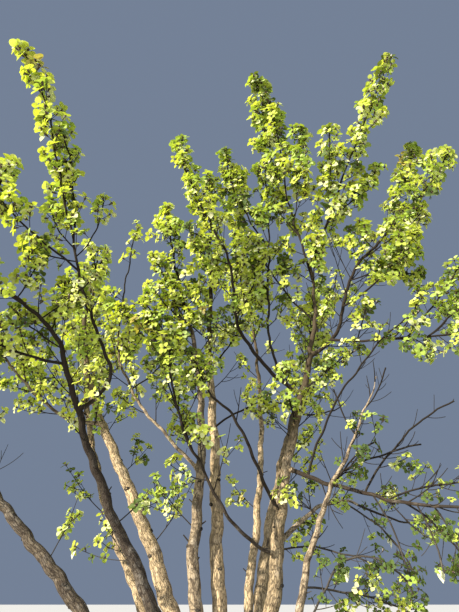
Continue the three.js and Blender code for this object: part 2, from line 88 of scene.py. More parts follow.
# A bough leaves the limb that it is on at a distance along it
BOUGHS = table(
    "name on along length girth tip heading rise bark finish",
    ("high_left_bough", "front_left_stem", 3.35, 1.95, 0.055, 0.03,
     (-215, -145, -125), (180, 62, 63, 71), "dark_bark"),
    ("crossing_bough", "left_stem", 3.6, 1.4, 0.06, 0.03,
     (-155, -155, -135), (-11, 21, 43, 36), "brown_bark", "grey_bark"),
    ("inner_left_bough", "mid_left_stem", 2.65, 2.15, 0.056, 0.028,
     (175, 165, 170), (47, 45, 62, 87), "grey_bark"),
    ("slender_bough", "main_stem", 1.85, 2.0, 0.052, 0.025,
     (-140, -155, -150), (3, 52, 60, 76), "dark_bark"),
    ("drooping_bough", "main_stem", 2.2, 1.35, 0.056, 0.028,
     (-135, -130, -165), (40, 60, 33), "dark_bark"),
    ("left_fork_bough", "main_stem", 3.45, 2.25, 0.066, 0.034,
     (-190, -150, -180), (37, 52, 92, 63), "dark_bark"),
    ("inner_leader_bough", "left_fork_bough", 0.25, 2.15, 0.046, 0.028,
     (175, 55, 45), (69, 87, 82), "dark_bark"),
    ("right_leader_bough", "main_stem", 5.25, 1.55, 0.046, 0.03, (-10, -15), (63, 73), "dark_bark"),
    ("mid_leader_bough", "main_stem", 5.0, 1.4, 0.046, 0.028, (-180, -190), (78, 80), "dark_bark"),
    ("long_right_bough", "main_stem", 3.95, 2.15, 0.064, 0.032,
     (-15, -30, 5), (20, 82, 44, 50), "brown_bark", "dark_bark"),
    ("level_right_bough", "long_right_bough", 0.3, 1.1, 0.042, 0.024,
     (-55, -30, -40), (-22, -11, -8), "dark_bark"),
    ("sweeping_bough", "main_stem", 2.65, 1.55, 0.066, 0.03,
     (-45, -35, -35), (-25, -21, -17, -11), "brown_bark", "dark_bark"),
    ("lower_right_bough", "main_stem", 1.95, 1.2, 0.078, 0.032,
     (35, 35, 15), (29, 34, -17), "dark_bark", "grey_bark"),
)

# A mass is a shoot whose twigs reach out past its bare share. Where along is None it goes on
# from its limb's tip, and where girth is None it is as thick as its limb is there. All of its
# twigs have leaves, or the share of them under leafy. The picture shows some masses thinner than
# their solids, and kept is the share of twigs that stays. Shade makes the leaves darker
MASSES = table(
    "name on along length reach bare twigs girth heading rise leafy kept shade",
    ("high_left_foliage", "high_left_bough", None, 2.55, 0.33, 0.04, 16, None,
     (-125, -150, -155), (65, 75, 55), 1, 0.95),
    ("left_arm_foliage", "high_left_bough", 1.6, 1.8, 0.48, 0.35, 9, 0.031,
     (-150, -170, -200), (30, 40, 115)),
    ("left_shoot_foliage", "high_left_bough", 1.75, 0.9, 0.33, 0.2, 7, 0.019,
     (15, 15), (55, 100), 1, 0.5),
    ("front_left_foliage", "front_left_stem", None, 1.3, 0.56, 0.08, 9, None, (-180, -160), (10, 85)),
    ("low_left_foliage", "front_left_stem", 3.8, 1.1, 0.43, 0.3, 8, 0.041,
     (-140, -165, -165), (-5, 15, 45)),
    ("crossing_foliage", "crossing_bough", None, 1.15, 0.48, 0.08, 8, None, (-145, -150), (40, 80)),
    ("far_left_foliage", "far_left_stem", None, 1.5, 0.62, 0.05, 9, None, (175, 160), (75, 85)),
    ("left_foliage", "left_stem", None, 0.9, 0.52, 0.08, 8, None, (95, 95), (80, 95), 1, 0.6),
    ("back_left_foliage", "back_left_stem", None, 1.25, 0.6, 0.08, 9, None, (110, 55), (65, 70), 1, 0.25),
    ("rear_left_foliage", "back_left_stem", 4.6, 2.0, 0.62, 0.3, 9, 0.048, (110, 135), (55, 40)),
    ("inner_left_foliage", "inner_left_bough", None, 1.85, 0.48, 0.05, 13, None,
     (110, 60), (85, 80), 1, 0.3),
    ("mid_left_foliage", "mid_left_stem", None, 2.0, 0.5, 0.05, 12, None, (175, 155), (75, 80)),
    ("slender_foliage", "slender_bough", None, 0.6, 0.43, 0.1, 7, None, (-165, -145), (75, 105)),
    ("drooping_foliage", "drooping_bough", None, 0.62, 0.43, 0.1, 7, None,
     (-190, -185), (60, 75), 1, 0.6),
    ("middle_foliage", "middle_stem", None, 2.25, 0.48, 0.05, 14, None, (95, 105), (80, 90)),
    ("left_fork_foliage", "left_fork_bough", None, 2.0, 0.36, 0.05, 13, None, (165, 180), (65, 75)),
    ("inner_leader_foliage", "inner_leader_bough", None, 3.3, 0.43, 0.05, 19, None,
     (175, 175), (90, 90), 1, 0.85, 0.5),
    ("inner_side_foliage", "inner_leader_bough", 1.3, 2.6, 0.42, 0.2, 12, 0.027, (130, 125), (55, 100)),
    ("mid_leader_foliage", "mid_leader_bough", None, 1.6, 0.36, 0.06, 10, None, (-105, -150), (75, 85)),
    ("mid_side_foliage", "mid_leader_bough", 0.9, 1.55, 0.33, 0.25, 9, 0.02, (-60, -65), (70, 85)),
    ("right_inner_foliage", "right_leader_bough", 1.1, 1.05, 0.33, 0.2, 8, 0.02,
     (-130, -55), (50, 80), 1, 0.6),
    ("right_leader_foliage", "right_leader_bough", None, 2.4, 0.4, 0.04, 16, None,
     (-20, 0), (65, 70), 1, 0.75),
    ("long_right_foliage", "long_right_bough", None, 1.45, 0.43, 0.05, 11, None, (0, -10), (45, 60)),
    ("right_shoot_foliage", "long_right_bough", 1.9, 2.1, 0.43, 0.2, 11, 0.024, (45, 5), (60, 70)),
    ("outer_right_foliage", "long_right_bough", 0.75, 1.35, 0.45, 0.35, 9, 0.034,
     (-50, -30, 0), (0, 45, 50)),
    ("level_right_foliage", "level_right_bough", None, 0.95, 0.48, 0.08, 8, None, (-25, -10), (-5, 15)),
    ("rising_twigs", "sweeping_bough", 0.3, 2.0, 0.42, 0.45, 7, 0.035,
     (-25, -35, -20), (73, 48, 35), 0.35),
    ("sweeping_foliage", "sweeping_bough", None, 1.15, 0.52, 0.06, 9, None,
     (-25, -25), (-5, -35), 1, 0.6),
    ("lower_right_foliage", "lower_right_bough", None, 1.0, 0.52, 0.06, 8, None,
     (15, 5), (-20, -5), 1, 0.33),
    ("low_hanging_foliage", "right_stem", 1.0, 1.7, 0.48, 0.25, 9, 0.03,
     (0, -40, -10), (65, 50, -80), 1, 0.5),
    ("out_right_twigs", "right_stem", 2.6, 0.9, 0.33, 0.3, 7, 0.027, (-35, -25), (20, 5), 0.5),
    ("cross_right_foliage", "middle_stem", 3.15, 1.25, 0.43, 0.35, 9, 0.034,
     (-40, -35, -25), (30, 5, -35), 1, 0.4),
    ("back_middle_foliage", "back_middle_stem", None, 1.4, 0.64, 0.05, 9, None, (135, 130), (70, 85)),
    ("rear_middle_foliage", "back_middle_stem", 3.6, 2.0, 0.64, 0.3, 9, 0.041,
     (110, 120), (45, 45), 1, 0.25),
    ("back_right_foliage", "back_right_stem", None, 1.45, 0.64, 0.05, 9, None,
     (30, 35), (45, 95), 1, 0.28),
    ("rear_right_foliage", "back_right_stem", 3.9, 1.95, 0.64, 0.3, 9, 0.044, (50, 20), (0, 55), 1, 0.35),
)

# Girths at foot and tip as shares of the solids', where the picture shows slimmer wood
SLIMMER = {"right_stem": (0.82, 0.80), "front_left_stem": (0.92, 0.60), "main_stem": (0.92, 0.60)}
SLIM_BOUGHS = (0.68, 0.82)
SLIM_SHOOTS = 0.72

# Root crown and stem feet. The stems start below the ground, and are cut off level at it
BELOW_GROUND = 0.25
FLARE = 0.6
FLARE_HEIGHT = 0.13
MOUND = {"radius": 0.43, "height": 0.17, "around": 48, "rings": 24}
FOOT = {"height": 0.2, "swell": 0.012, "bottom": 2.2, "top": -0.6, "voxel": 0.011, "rounds": 8,
        "rings": 16}
BUTTRESS = {"reach": 0.34, "root": 0.08, "end": 0.045, "start": 0.16, "bottom": -0.035,
            "sag": -0.05, "rings": 14}

# Limbs: ring spacing, the swelling where a bough leaves, the length and size of the bends, how
# they vary in length and fade in from the root, and the step between points of a coarse line.
# The grain shifts on from each line of a piece to the next
RING_SPACING = 0.018
GRAIN_SHIFT = 0.7
COLLAR_SWELL = 0.3
COLLAR_LENGTH = 0.05
CROOKS = ((0.85, 0.008), (0.37, 0.0055), (0.19, 0.0030))
CROOK_LENGTH = (0.8, 0.4)
CROOK_FADE = 0.3
CROOK_ASIDE = (0.3, 1.0, 0.1)
COARSE = 3

# Plates and furrows: how steep a plate's edge is, its middle height, the slow swellings, and the
# share of the full relief for each metre of radius
RELIEF = {"edge": 3.0, "middle": 0.7, "lumps": 2.2, "with_girth": 12.0}

# Knots: where they start and end, their spacing, and their size as a share of the limb's radius
KNOTS = {"first": 0.5, "past_fork": 0.2, "last": 0.9, "every": 0.27, "step": (0.6, 0.8),
         "size": (0.40, 0.55), "sink": 0.96, "lean": 0.25, "turn_scatter": 60, "kinds": 3}
STUBS = {"share": 0.2, "reach": 0.07, "longer": (0.4, 1), "lean": 0.8, "start": 0.3,
         "root": 0.17, "tip": 0.11, "rings": 5, "sides": 9, "relief": 0.004}

# A knot one unit across: its rings from the middle outwards and their rise, its length and width,
# how uneven its rim and rise are, and the scale of its grain
KNOT = {"rings": (0.0, 0.22, 0.42, 0.62, 0.85, 1.1), "rise": (-0.16, -0.12, 0.10, 0.20, 0.08, -0.16),
        "sides": 14, "long": 0.62, "wide": 0.40, "rim_scatter": 0.14, "rise_scatter": 0.3,
        "grain": 0.05}

# Forks: how far the fused bark reaches along the carrier and the bough, and how it swells
FORK = {"carrier": 0.20, "bough": 0.17, "swell": 0.004, "sink": -0.006, "voxel": 0.0065,
        "rounds": 9, "carrier_rings": 24, "bough_rings": 20}
FUSED = {"sides": 28, "soften": 0.5, "girth": 0.085}

# Seeds of the random streams
SEED_FIRST = 1000
SEED_STEP = 77
SIDE_TWIG_SEED = 3000
LOW_SPRAY_SEED = 5000
BRACT_SEED = 7000
KNOT_SEED = 11000

# Twigs leave a shoot as the solids' twigs do, and then carry finer twigs and short spurs. Angles
# are degrees. A pair is a least value and how much more it may be, and a scatter a whole width
GOLDEN_ANGLE = 137.5
HABIT = {"foot_lean": 58, "tip_lean": 32, "lean_scatter": 16, "turn_scatter": 40, "last": 0.97,
         "tip_reach": 0.55, "least_reach": 0.6, "twig_reach": 0.85, "length": (0.55, 0.45)}
SHOOT = {"tip_radius": 0.0075, "top_room": 0.07, "end_room": 0.05, "twig_room": 0.06,
         "spur_reach": 0.08}
TWIG = {"radius": 0.0062, "tip_radius": 0.0028, "root_share": 0.45, "least_radius": 0.003,
        "most_radius": 0.009, "bend": 0.075, "jitter": 0.10, "bare": 0.40}
TWIG_POINTS = 8
TWIG_SIDES = {"shoots": 9, "twigs": 4, "spurs": 3}
FINE_TWIG = {"from": 0.24, "more_from": 0.4, "few": (0.45,), "more": (0.3, 0.5, 0.7),
             "spread": (0.55, 0.5), "reach": (0.65, 0.45), "least_reach": 0.10, "radius": 0.6}
SIDE_TWIG = {"lean": (34, 26), "length": (0.55, 0.6), "turn_scatter": 30, "step": (0.7, 0.6),
             "leafy": 0.88}
SPUR = {"radius": 0.0028, "reach": 0.03, "lean": (50, 26), "new_tint": 0.3, "length": (0.6, 0.9),
        "turn_scatter": 30, "step": (0.75, 0.5), "left_step": 3.4, "to_light": (0.3, 0.5),
        "size": (0.8, 0.4), "end_size": (0.9, 0.3)}
BRANCHLET = {"bare": 0.18, "girth": 0.008, "girth_for_length": 0.016}
TO_LIGHT = np.array([-0.60, -0.60, 0.45])
ROOM_ROUND_LIMBS = 0.045

# Directions that no shoot, limb or twig runs along, to measure a turn round it from
ACROSS_SHOOT = np.array([0, 1, 0])
ACROSS_LIMB = np.array([0.1, 1, 0.1])
ACROSS_TWIG = np.array([-0.1, -0.2, -1])

# Places that change the leaves, and the light and shade painted into their tints: where each
# starts and over what distance it takes hold, with low places measured downwards and left ones
# to the left
LIT = (3.2, 4.2)
LOW = (-4.2, 1.4)
RIGHT = (0.4, 1.0)
LEFT = (0.8, 1.5)

# Leaves are larger high in the crown and on the far left, and smaller low on the right
LEAF_HEIGHTS = (3.0, 8.5)
LEAF_SIZES = (0.76, 1.32)
LOW_RIGHT_LESS = 0.15
LEFT_MORE = 0.2

# Rosettes: how their leaves turn, tilt and bend, older ones further out, and how shapes vary
ROSETTE = {"kinds": 8, "least_leaves": 4, "leaf_counts": 3, "turn_scatter": 30, "tilt": 36,
           "age_tilt": 34, "tilt_scatter": 14, "bend": (10, 20), "twist_scatter": 30,
           "young_size": 0.62, "age_size": 0.38, "size": (0.85, 0.3), "stalk": (0.7, 0.6),
           "stalk_radius": 0.0016, "fold": (0.12, 0.25), "curl": (0.06, 0.18)}

# Tints: the share of sprays with each, what light, a low place on the right and the far left add
# to it, how much light its leaves let through, and how pale the down on some is. The tints paint
# light and shade: sunlit is a brighter copy of the leaf colour and shaded a darker one, and the
# brighter tints take more of the pale down, partly as a painted highlight
TINTS = table(
    "name share light low left glow down",
    ("sunlit", 0.34, -0.07, -0.30, 0.12, 0.42, 0.75),
    ("fresh", 0.33, 0, -0.18, 0, 0.40, 0.60),
    ("green", 0.20, 0.04, 0.20, -0.06, 0.36, 0.22),
    ("shaded", 0.12, 0.03, 0.60, -0.06, 0.28, 0.04),
    ("bronze", 0.010, 0, 0, 0, 0.36, 0.30),
)
# Pale down on some leaves, partly the real down and partly a painted highlight: its colour is whitened
# and the brighter tints take more of it
DOWN_AND_HIGHLIGHT = {"share": 0.27, "on_others": 0.15, "color": (0.87, 0.85, 0.58)}
MIDRIB = {"color": (0.75, 0.82, 0.20), "share": 0.30, "width": 0.06, "paint": 0.5, "rise": -2.0}
MOTTLE_PAINT = 0.25
VEINS = {"slope": 0.7, "spacing": 44.0}

# Colours that are mixed into others, and their shares
LIT_THROUGH = (0.8, 0.9, 0.02), 0.25
SCALE_STREAKS = (0.16, 0.09, 0.05), 0.4
BLOOM = (0.62, 0.58, 0.50), 0.35
# The near black that the wood takes on higher up: partly younger bark, partly painted shade under the
# crown
YOUNG_AND_SHADED_WOOD = (0.016, 0.012, 0.008), 0.85

# A bud's width, its rings' places and radii, and its ends, and a pair of bracts: their sizes, how
# they spread, and how their blades widen, belly out, cup and ripple
BUD = {"sides": 4, "width": 0.45, "rings": ((-0.25, 0.55), (0.65, 1.0)), "tip": 1.25, "foot": -0.75}
BRACT = {"sizes": (1.0, 0.62), "spread": 0.16, "forward": 0.05, "turn_scatter": 0.2, "rows": 7,
         "columns": 5, "width": 0.30, "fullness": 0.72, "foot": 0.03, "belly": 0.16, "cup": 0.25,
         "ripple": 0.05, "waves": (9, 3)}

# Side twigs straight on a limb: the limb, the share of it where they start, the distance between
# two, their length and, where they aren't as usual, the share with leaves and where they end
SIDE_TWIGS = (
    ("high_left_bough", 0.6, 0.3, 0.3),
    ("crossing_bough", 0.25, 0.16, 0.5),
    ("inner_left_bough", 0.35, 0.15, 0.6),
    ("slender_bough", 0.45, 0.15, 0.6),
    ("drooping_bough", 0.75, 0.3, 0.5),
    ("left_fork_bough", 0.35, 0.15, 0.6),
    ("inner_leader_bough", 0.35, 0.15, 0.55),
    ("right_leader_bough", 0.15, 0.14, 0.6),
    ("mid_leader_bough", 0.15, 0.14, 0.6),
    ("long_right_bough", 0.5, 0.24, 0.5),
    ("long_right_bough", 0.1, 0.1, 0.7, 0.1, 0.6),
    ("level_right_bough", 0.15, 0.16, 0.45, 0.7),
    ("sweeping_bough", 0.3, 0.13, 0.45, 0.5),
    ("lower_right_bough", 0.3, 0.16, 0.45),
    ("far_left_stem", 0.62, 0.18, 0.6),
    ("front_left_stem", 0.62, 0.15, 0.5, 0.7),
    ("left_stem", 0.6, 0.15, 0.6),
    ("back_left_stem", 0.6, 0.16, 0.7),
    ("mid_left_stem", 0.72, 0.17, 0.6),
    ("middle_stem", 0.74, 0.15, 0.65),
    ("back_middle_stem", 0.75, 0.3, 0.6, 0.7),
    ("back_right_stem", 0.55, 0.16, 0.7),
    ("main_stem", 0.62, 0.16, 0.55, 0.5),
    ("right_stem", 0.55, 0.13, 0.34, 0.15),
)

# Branchlets between the masses, grown as a mass is
BRANCHLETS = table(
    "name on along length reach twigs heading rise leafy kept shade",
    ("left_end", "front_left_stem", 4.6, 0.7, 0.34, 6, (60, 90), (65, 85)),
    ("left_upright", "front_left_stem", 4.15, 0.8, 0.34, 6, (90, 110), (60, 85)),
    ("left_middle", "high_left_bough", 1.15, 0.6, 0.33, 5, (140, 160), (40, 70)),
    ("left_inside", "left_stem", 4.2, 1.2, 0.42, 7, (40, 60), (40, 70)),
    ("left_low", "crossing_bough", 0.8, 0.9, 0.4, 6, (150, 120), (30, 60)),
    ("left_behind", "back_left_stem", 4.1, 1.4, 0.45, 8, (210, 190), (30, 50)),
    ("inner_left_side", "inner_left_bough", 1.3, 1.1, 0.42, 7, (20, 40), (40, 70)),
    ("mid_left_side", "mid_left_stem", 3.6, 1.2, 0.42, 7, (190, 170), (35, 70)),
    ("slender_side", "slender_bough", 1.3, 0.9, 0.38, 6, (120, 140), (50, 80)),
    ("middle_side", "middle_stem", 3.9, 1.3, 0.42, 8, (10, 40), (50, 80)),
    ("fork_side", "left_fork_bough", 1.2, 1.2, 0.38, 7, (30, 80), (50, 85)),
    ("leader_side", "main_stem", 4.4, 1.5, 0.38, 8, (190, 170), (45, 75)),
    ("leader_back", "main_stem", 4.0, 1.6, 0.45, 8, (80, 60), (40, 75)),
    ("right_leader_side", "right_leader_bough", 0.7, 1.3, 0.36, 8, (-10, 10), (35, 65)),
    ("level_right_up", "level_right_bough", 0.75, 0.8, 0.36, 3, (-10, 0), (40, 75)),
    ("level_right_down", "level_right_bough", 0.8, 0.5, 0.3, 5, (-40, -40), (-20, -75)),
    ("sweeping_down", "sweeping_bough", 1.25, 1.0, 0.4, 6, (20, 10), (-20, -75)),
    ("low_right_down", "lower_right_bough", 1.0, 1.1, 0.42, 3, (-20, -10), (-25, -70)),
    ("low_right_out", "right_stem", 1.6, 1.2, 0.42, 9, (20, 0), (0, -25)),
    ("low_right_behind", "back_right_stem", 1.9, 1.3, 0.42, 9, (-40, -10), (15, -30)),
    ("low_right_foot", "right_stem", 0.9, 0.8, 0.36, 6, (10, -20), (45, 0)),
    ("high_left_side", "high_left_bough", 1.85, 0.75, 0.3, 4, (180, 180), (45, 75)),
    ("inner_leader_side", "inner_leader_bough", 2.0, 1.9, 0.38, 9, (180, 180), (60, 82), 1, 0.8, 0.3),
    ("mid_left_out", "mid_left_stem", 4.3, 1.1, 0.4, 7, (180, 180), (5, 35)),
    ("main_front", "main_stem", 3.1, 0.8, 0.4, 7, (-100, -120), (30, 60)),
    ("outer_right_side", "long_right_bough", 1.4, 1.0, 0.4, 7, (-30, -10), (20, 45)),
    ("right_end", "level_right_bough", 1.1, 1.2, 0.4, 8, (0, 10), (35, 60)),
    ("sweeping_up", "sweeping_bough", 1.1, 0.9, 0.36, 7, (-20, -10), (25, -10), 0.7),
    ("bare_right", "sweeping_bough", 0.9, 1.3, 0.4, 7, (-10, -30), (60, 20), 0.12),
    ("bare_tip", "right_stem", 3.0, 0.6, 0.3, 5, (170, 150), (60, 85), 0.0),
    ("bare_tip_right", "right_stem", 3.25, 0.55, 0.3, 5, (-10, -20), (45, 70), 0.0),
    ("left_lit", "front_left_stem", 3.95, 0.75, 0.36, 5, (200, 170), (20, 55)),
    ("left_arm_side", "high_left_bough", 1.7, 0.7, 0.34, 4, (190, 175), (0, 40)),
    ("slender_up", "slender_bough", 1.7, 0.8, 0.36, 6, (170, 150), (60, 80)),
    ("fork_low", "left_fork_bough", 1.9, 0.7, 0.36, 6, (180, 170), (20, 50)),
    ("outer_right_low", "long_right_bough", 1.1, 0.9, 0.38, 6, (-40, -20), (-5, 25)),
    ("main_right_up", "main_stem", 3.5, 0.9, 0.38, 7, (-30, -20), (30, 30)),
    ("sweeping_near", "sweeping_bough", 0.6, 0.9, 0.38, 7, (-60, -40), (40, 10)),
    ("left_edge", "front_left_stem", 4.7, 0.8, 0.38, 7, (190, 180), (25, 60)),
    ("right_edge", "level_right_bough", 0.9, 1.3, 0.4, 7, (10, -5), (45, 55)),
    ("mid_left_up", "mid_left_stem", 4.0, 1.1, 0.4, 7, (200, 180), (30, 65)),
    ("mid_left_far", "mid_left_stem", 4.5, 1.3, 0.36, 8, (180, 180), (40, 65)),
    ("long_right_near", "long_right_bough", 1.6, 0.6, 0.34, 6, (120, 100), (60, 80)),
    ("long_right_under", "long_right_bough", 1.3, 0.85, 0.38, 8, (-20, 0), (-25, -5)),
    ("mid_leader_side", "mid_leader_bough", 0.7, 0.9, 0.34, 6, (180, 190), (50, 80)),
    ("left_near", "front_left_stem", 4.3, 0.8, 0.36, 4, (0, 20), (40, 60)),
    ("level_right_rise", "level_right_bough", 0.35, 0.6, 0.34, 6, (-20, 0), (60, 80)),
    ("mid_left_peak", "mid_left_stem", 4.4, 1.3, 0.32, 6, (185, 175), (60, 70)),
    ("sweeping_end", "sweeping_bough", 1.5, 0.8, 0.34, 7, (-10, 0), (-60, -80)),
    ("leader_front", "main_stem", 4.85, 0.8, 0.36, 7, (-90, -60), (60, 80)),
    ("plume_side", "high_left_bough", 1.93, 1.5, 0.24, 6, (-115, -150), (79, 69)),
    ("middle_left", "middle_stem", 4.3, 0.8, 0.36, 7, (190, 180), (30, 60)),
    ("sweeping_hang", "sweeping_bough", 0.97, 0.8, 0.3, 5, (-30, 0), (-62, -82), 0.55),
    ("sweeping_hang_right", "sweeping_bough", 1.36, 0.62, 0.28, 5, (-30, 0), (-66, -84), 0.7),
)

# Small leafy sprays low on the stems: stem, place along it, heading, rise and length
LOW_SPRAYS = (
    ("front_left_stem", 1.75, 150, 35, 0.75),
    ("front_left_stem", 2.25, 20, 40, 0.5),
    ("left_stem", 2.05, 10, 45, 0.75),
    ("left_stem", 2.9, 60, 30, 0.6),
    ("far_left_stem", 2.3, 40, 60, 0.7),
    ("mid_left_stem", 2.1, 175, 40, 0.7),
    ("main_stem", 2.95, -160, 35, 0.55),
    ("main_stem", 3.05, 20, 30, 0.6),
    ("main_stem", 2.7, 10, 35, 0.6),
    ("right_stem", 1.7, 10, 20, 0.6),
    ("right_stem", 2.2, 170, 30, 0.45),
    ("back_middle_stem", 2.4, 120, 30, 0.7),
    ("back_left_stem", 2.6, 200, 30, 0.8),
    ("back_right_stem", 2.6, -20, 30, 0.8),
    ("back_right_stem", 3.1, 110, 25, 0.8),
)

# The height whose tints the low sprays have
LOW_SPRAY_LIGHT = 6.0

# The front view: the picture's size, the viewer's eye, how far it looks up, and its lens
PICTURE = {"width": 459, "height": 612}
EYE = (-0.05, -5.5, 1.55)
PITCH = 29
LENS = 30
SENSOR = 36

# Openings in the crown where the front view shows sky: middle and half sizes, in its pixels. No
# rosette grows there, and this share of the twigs that end there is left out
TWIGS_LEFT_OUT = 0.6
OPENINGS = np.array([
    (230, 402, 14, 44), (362, 392, 32, 15), (420, 402, 48, 24), (430, 440, 30, 16),
    (394, 366, 15, 19), (115, 238, 10, 24), (132, 278, 17, 18), (337, 257, 13, 13),
    (393, 311, 14, 13), (446, 232, 16, 30), (283, 340, 11, 13), (316, 114, 30, 14),
    (41, 229, 12, 12), (230, 362, 9, 13), (148, 418, 12, 22), (401, 528, 13, 23),
    (336, 418, 16, 12), (8, 148, 18, 12), (392, 440, 14, 14), (97, 236, 10, 12),
    (441, 552, 15, 12), (255, 430, 10, 12), (358, 366, 14, 13), (331, 545, 9, 16),
    (360, 528, 12, 11), (362, 553, 13, 12), (94, 174, 15, 23), (80, 188, 7, 13), (151, 223, 6, 10),
    (329, 492, 6, 9)])

# Cream bracts hang where the front view shows them, and a few through the rest of the crown
BRACT_PIXELS = ((340, 557), (347, 573), (386, 543), (64, 548), (437, 568), (252, 412), (96, 338))
BRACTS = {"spread": 9, "kinds": 3, "sway": 0.2, "size": (0.85, 0.3), "glow": 0.35}
# Young bracts: pale, and more of them where more light falls, so they are partly painted highlights
YOUNG_BRACTS = {"share": 0.45, "length": 0.038, "width": 0.75, "stalk": 0.5, "kinds": 4,
                "leaves": 2, "glow": 0.3}

# The material slots of bark
BARK_SLOTS = ("pale_bark", "brown_bark", "dark_bark", "grey_bark")

# Bark finishes: the colour setting and the black in it, how dark the furrows are, a plate's
# width and length, the strength of furrows, bloom, rings and patches, the height of the bumps,
# and the heights between which the wood turns young. The black, the darker wood above those
# heights and the broad patches partly paint shade
BARK_FINISHES = table(
    "name color black furrow width length furrowing blooming rings patches bump young",
    ("pale_bark", "pale", 0, 0.86, 0.018, 0.070, 0.90, 0.5, 0.45, 0.62, 0.006, (4.1, 4.9)),
    # main_bark is the pale bark with black in it, a darker copy that partly paints shade on the main and
    # back right stems
    ("main_bark", "pale", 0.30, 0.86, 0.018, 0.070, 0.90, 0.5, 0.45, 0.62, 0.006, (2.9, 4.0)),
    ("brown_bark", "brown", 0, 0.86, 0.020, 0.085, 0.90, 0.5, 0.45, 0.72, 0.006, (3.2, 4.6)),
    # dark_bark is partly the boughs' own dark brown and partly painted shade of the crown, and it darkens
    # from low down
    ("dark_bark", "dark", 0, 0.85, 0.016, 0.070, 0.85, 0.8, 0.45, 0.80, 0.005, (1.9, 3.3)),
    ("grey_bark", "grey", 0, 0.86, 0.020, 0.045, 0.70, 0.7, 0.80, 0.92, 0.004, (3.6, 5.0)),
    ("bare_twigs", "twig", 0, 0.5, 0.004, 0.016, 0.50, 0.35, 0.30, 0.30, 0.0006, (1.9, 3.3)),
)

# Bark pattern: the size, detail and roughness of its noises, and the twist of some, the values
# between which its masks rise, and how strong the rest is
BARK_NOISES = {"ragged": (2.3, 6.0, 0.65), "bloom": (7.0, 3.0, 0.6), "rings": (1.0, 2.0, 0.5),
               "age": (2.5, 3.0, 0.6), "fine": (24.0, 5.0, 0.7, 0.6), "broad": (6.0, 4.0, 0.65, 0.5)}
BARK_MASKS = {"edge": (0.16, 0.02), "crack": (0.35, 0.6), "bloom": (0.5, 0.68), "rings": (0.62, 0.74),
              "shade": (0.3, 0.75), "fine": (0.49, 0.58), "broad": (0.50, 0.60)}
BARK_PATTERN = {"broad": 0.75, "ragged_bump": 0.6, "ring_bump": 0.5, "roughness": 0.92,
                "bloom_gloss": 0.12}
BLACK = (0, 0, 0)
# Near black for furrows, rings and patches, where the broad patches partly paint dappled shadow
FURROW_AND_DAPPLE_COLOR = (0.02, 0.013, 0.01)

# Stage: the floor, and the colour, turn and softness of each sun, whose strength is a setting
FLOOR = {"half": 60.0, "height": -0.001}
SUNS = (("key_light", (1.0, 0.93, 0.80), (64, 0, -60), 1.2),
        ("fill_light", (0.90, 0.95, 1.0), (55, 0, -8), 30))
CLIP_END = 500


# Settings that a user would change
color_setting = functools.partial(
    bpy.props.FloatVectorProperty, subtype="COLOR", size=3, min=0, max=1)
length_setting = functools.partial(bpy.props.FloatProperty, subtype="DISTANCE", unit="LENGTH")


class BarkSettings(bpy.types.PropertyGroup):
    # The darker main copy of the pale bark partly paints shade
    pale: color_setting(
        name="Pale bark", description="Plates of the middle, left and back stems, and a darker main one",
        default=(0.52, 0.380, 0.210))
    brown: color_setting(
        name="Brown bark", description="Plates of the far left stem and the root crown",
        default=(0.105, 0.076, 0.045))
    # The dark bark partly paints the crown's shade on the front left stem and the boughs
    dark: color_setting(
        name="Dark bark", description="Plates of the front left stem and most boughs",
        default=(0.075, 0.053, 0.032))
    grey: color_setting(
        name="Grey bark", description="Skin of the right and mid left stems and three boughs",
        default=(0.34, 0.255, 0.155))
    twig: color_setting(
        name="Twig bark", description="Young wood of twigs and spurs", default=(0.022, 0.016, 0.011))
    stem_sides: bpy.props.IntProperty(
        name="Stem sides", description="Vertices round a stem", default=56, min=12, max=96)
    bough_sides: bpy.props.IntProperty(
        name="Bough sides", description="Vertices round a bough", default=36, min=8, max=64)
    relief: length_setting(
        name="Relief", description="Height of plates and furrows on the thickest stem",
        default=0.0045, min=0, max=0.02)
    furrow_width: length_setting(
        name="Furrow width", description="Width of one plate round the stem",
        default=0.034, min=0.005, max=0.2)
    furrow_length: length_setting(
        name="Furrow length", description="Length of one plate along the stem",
        default=0.16, min=0.01, max=1)


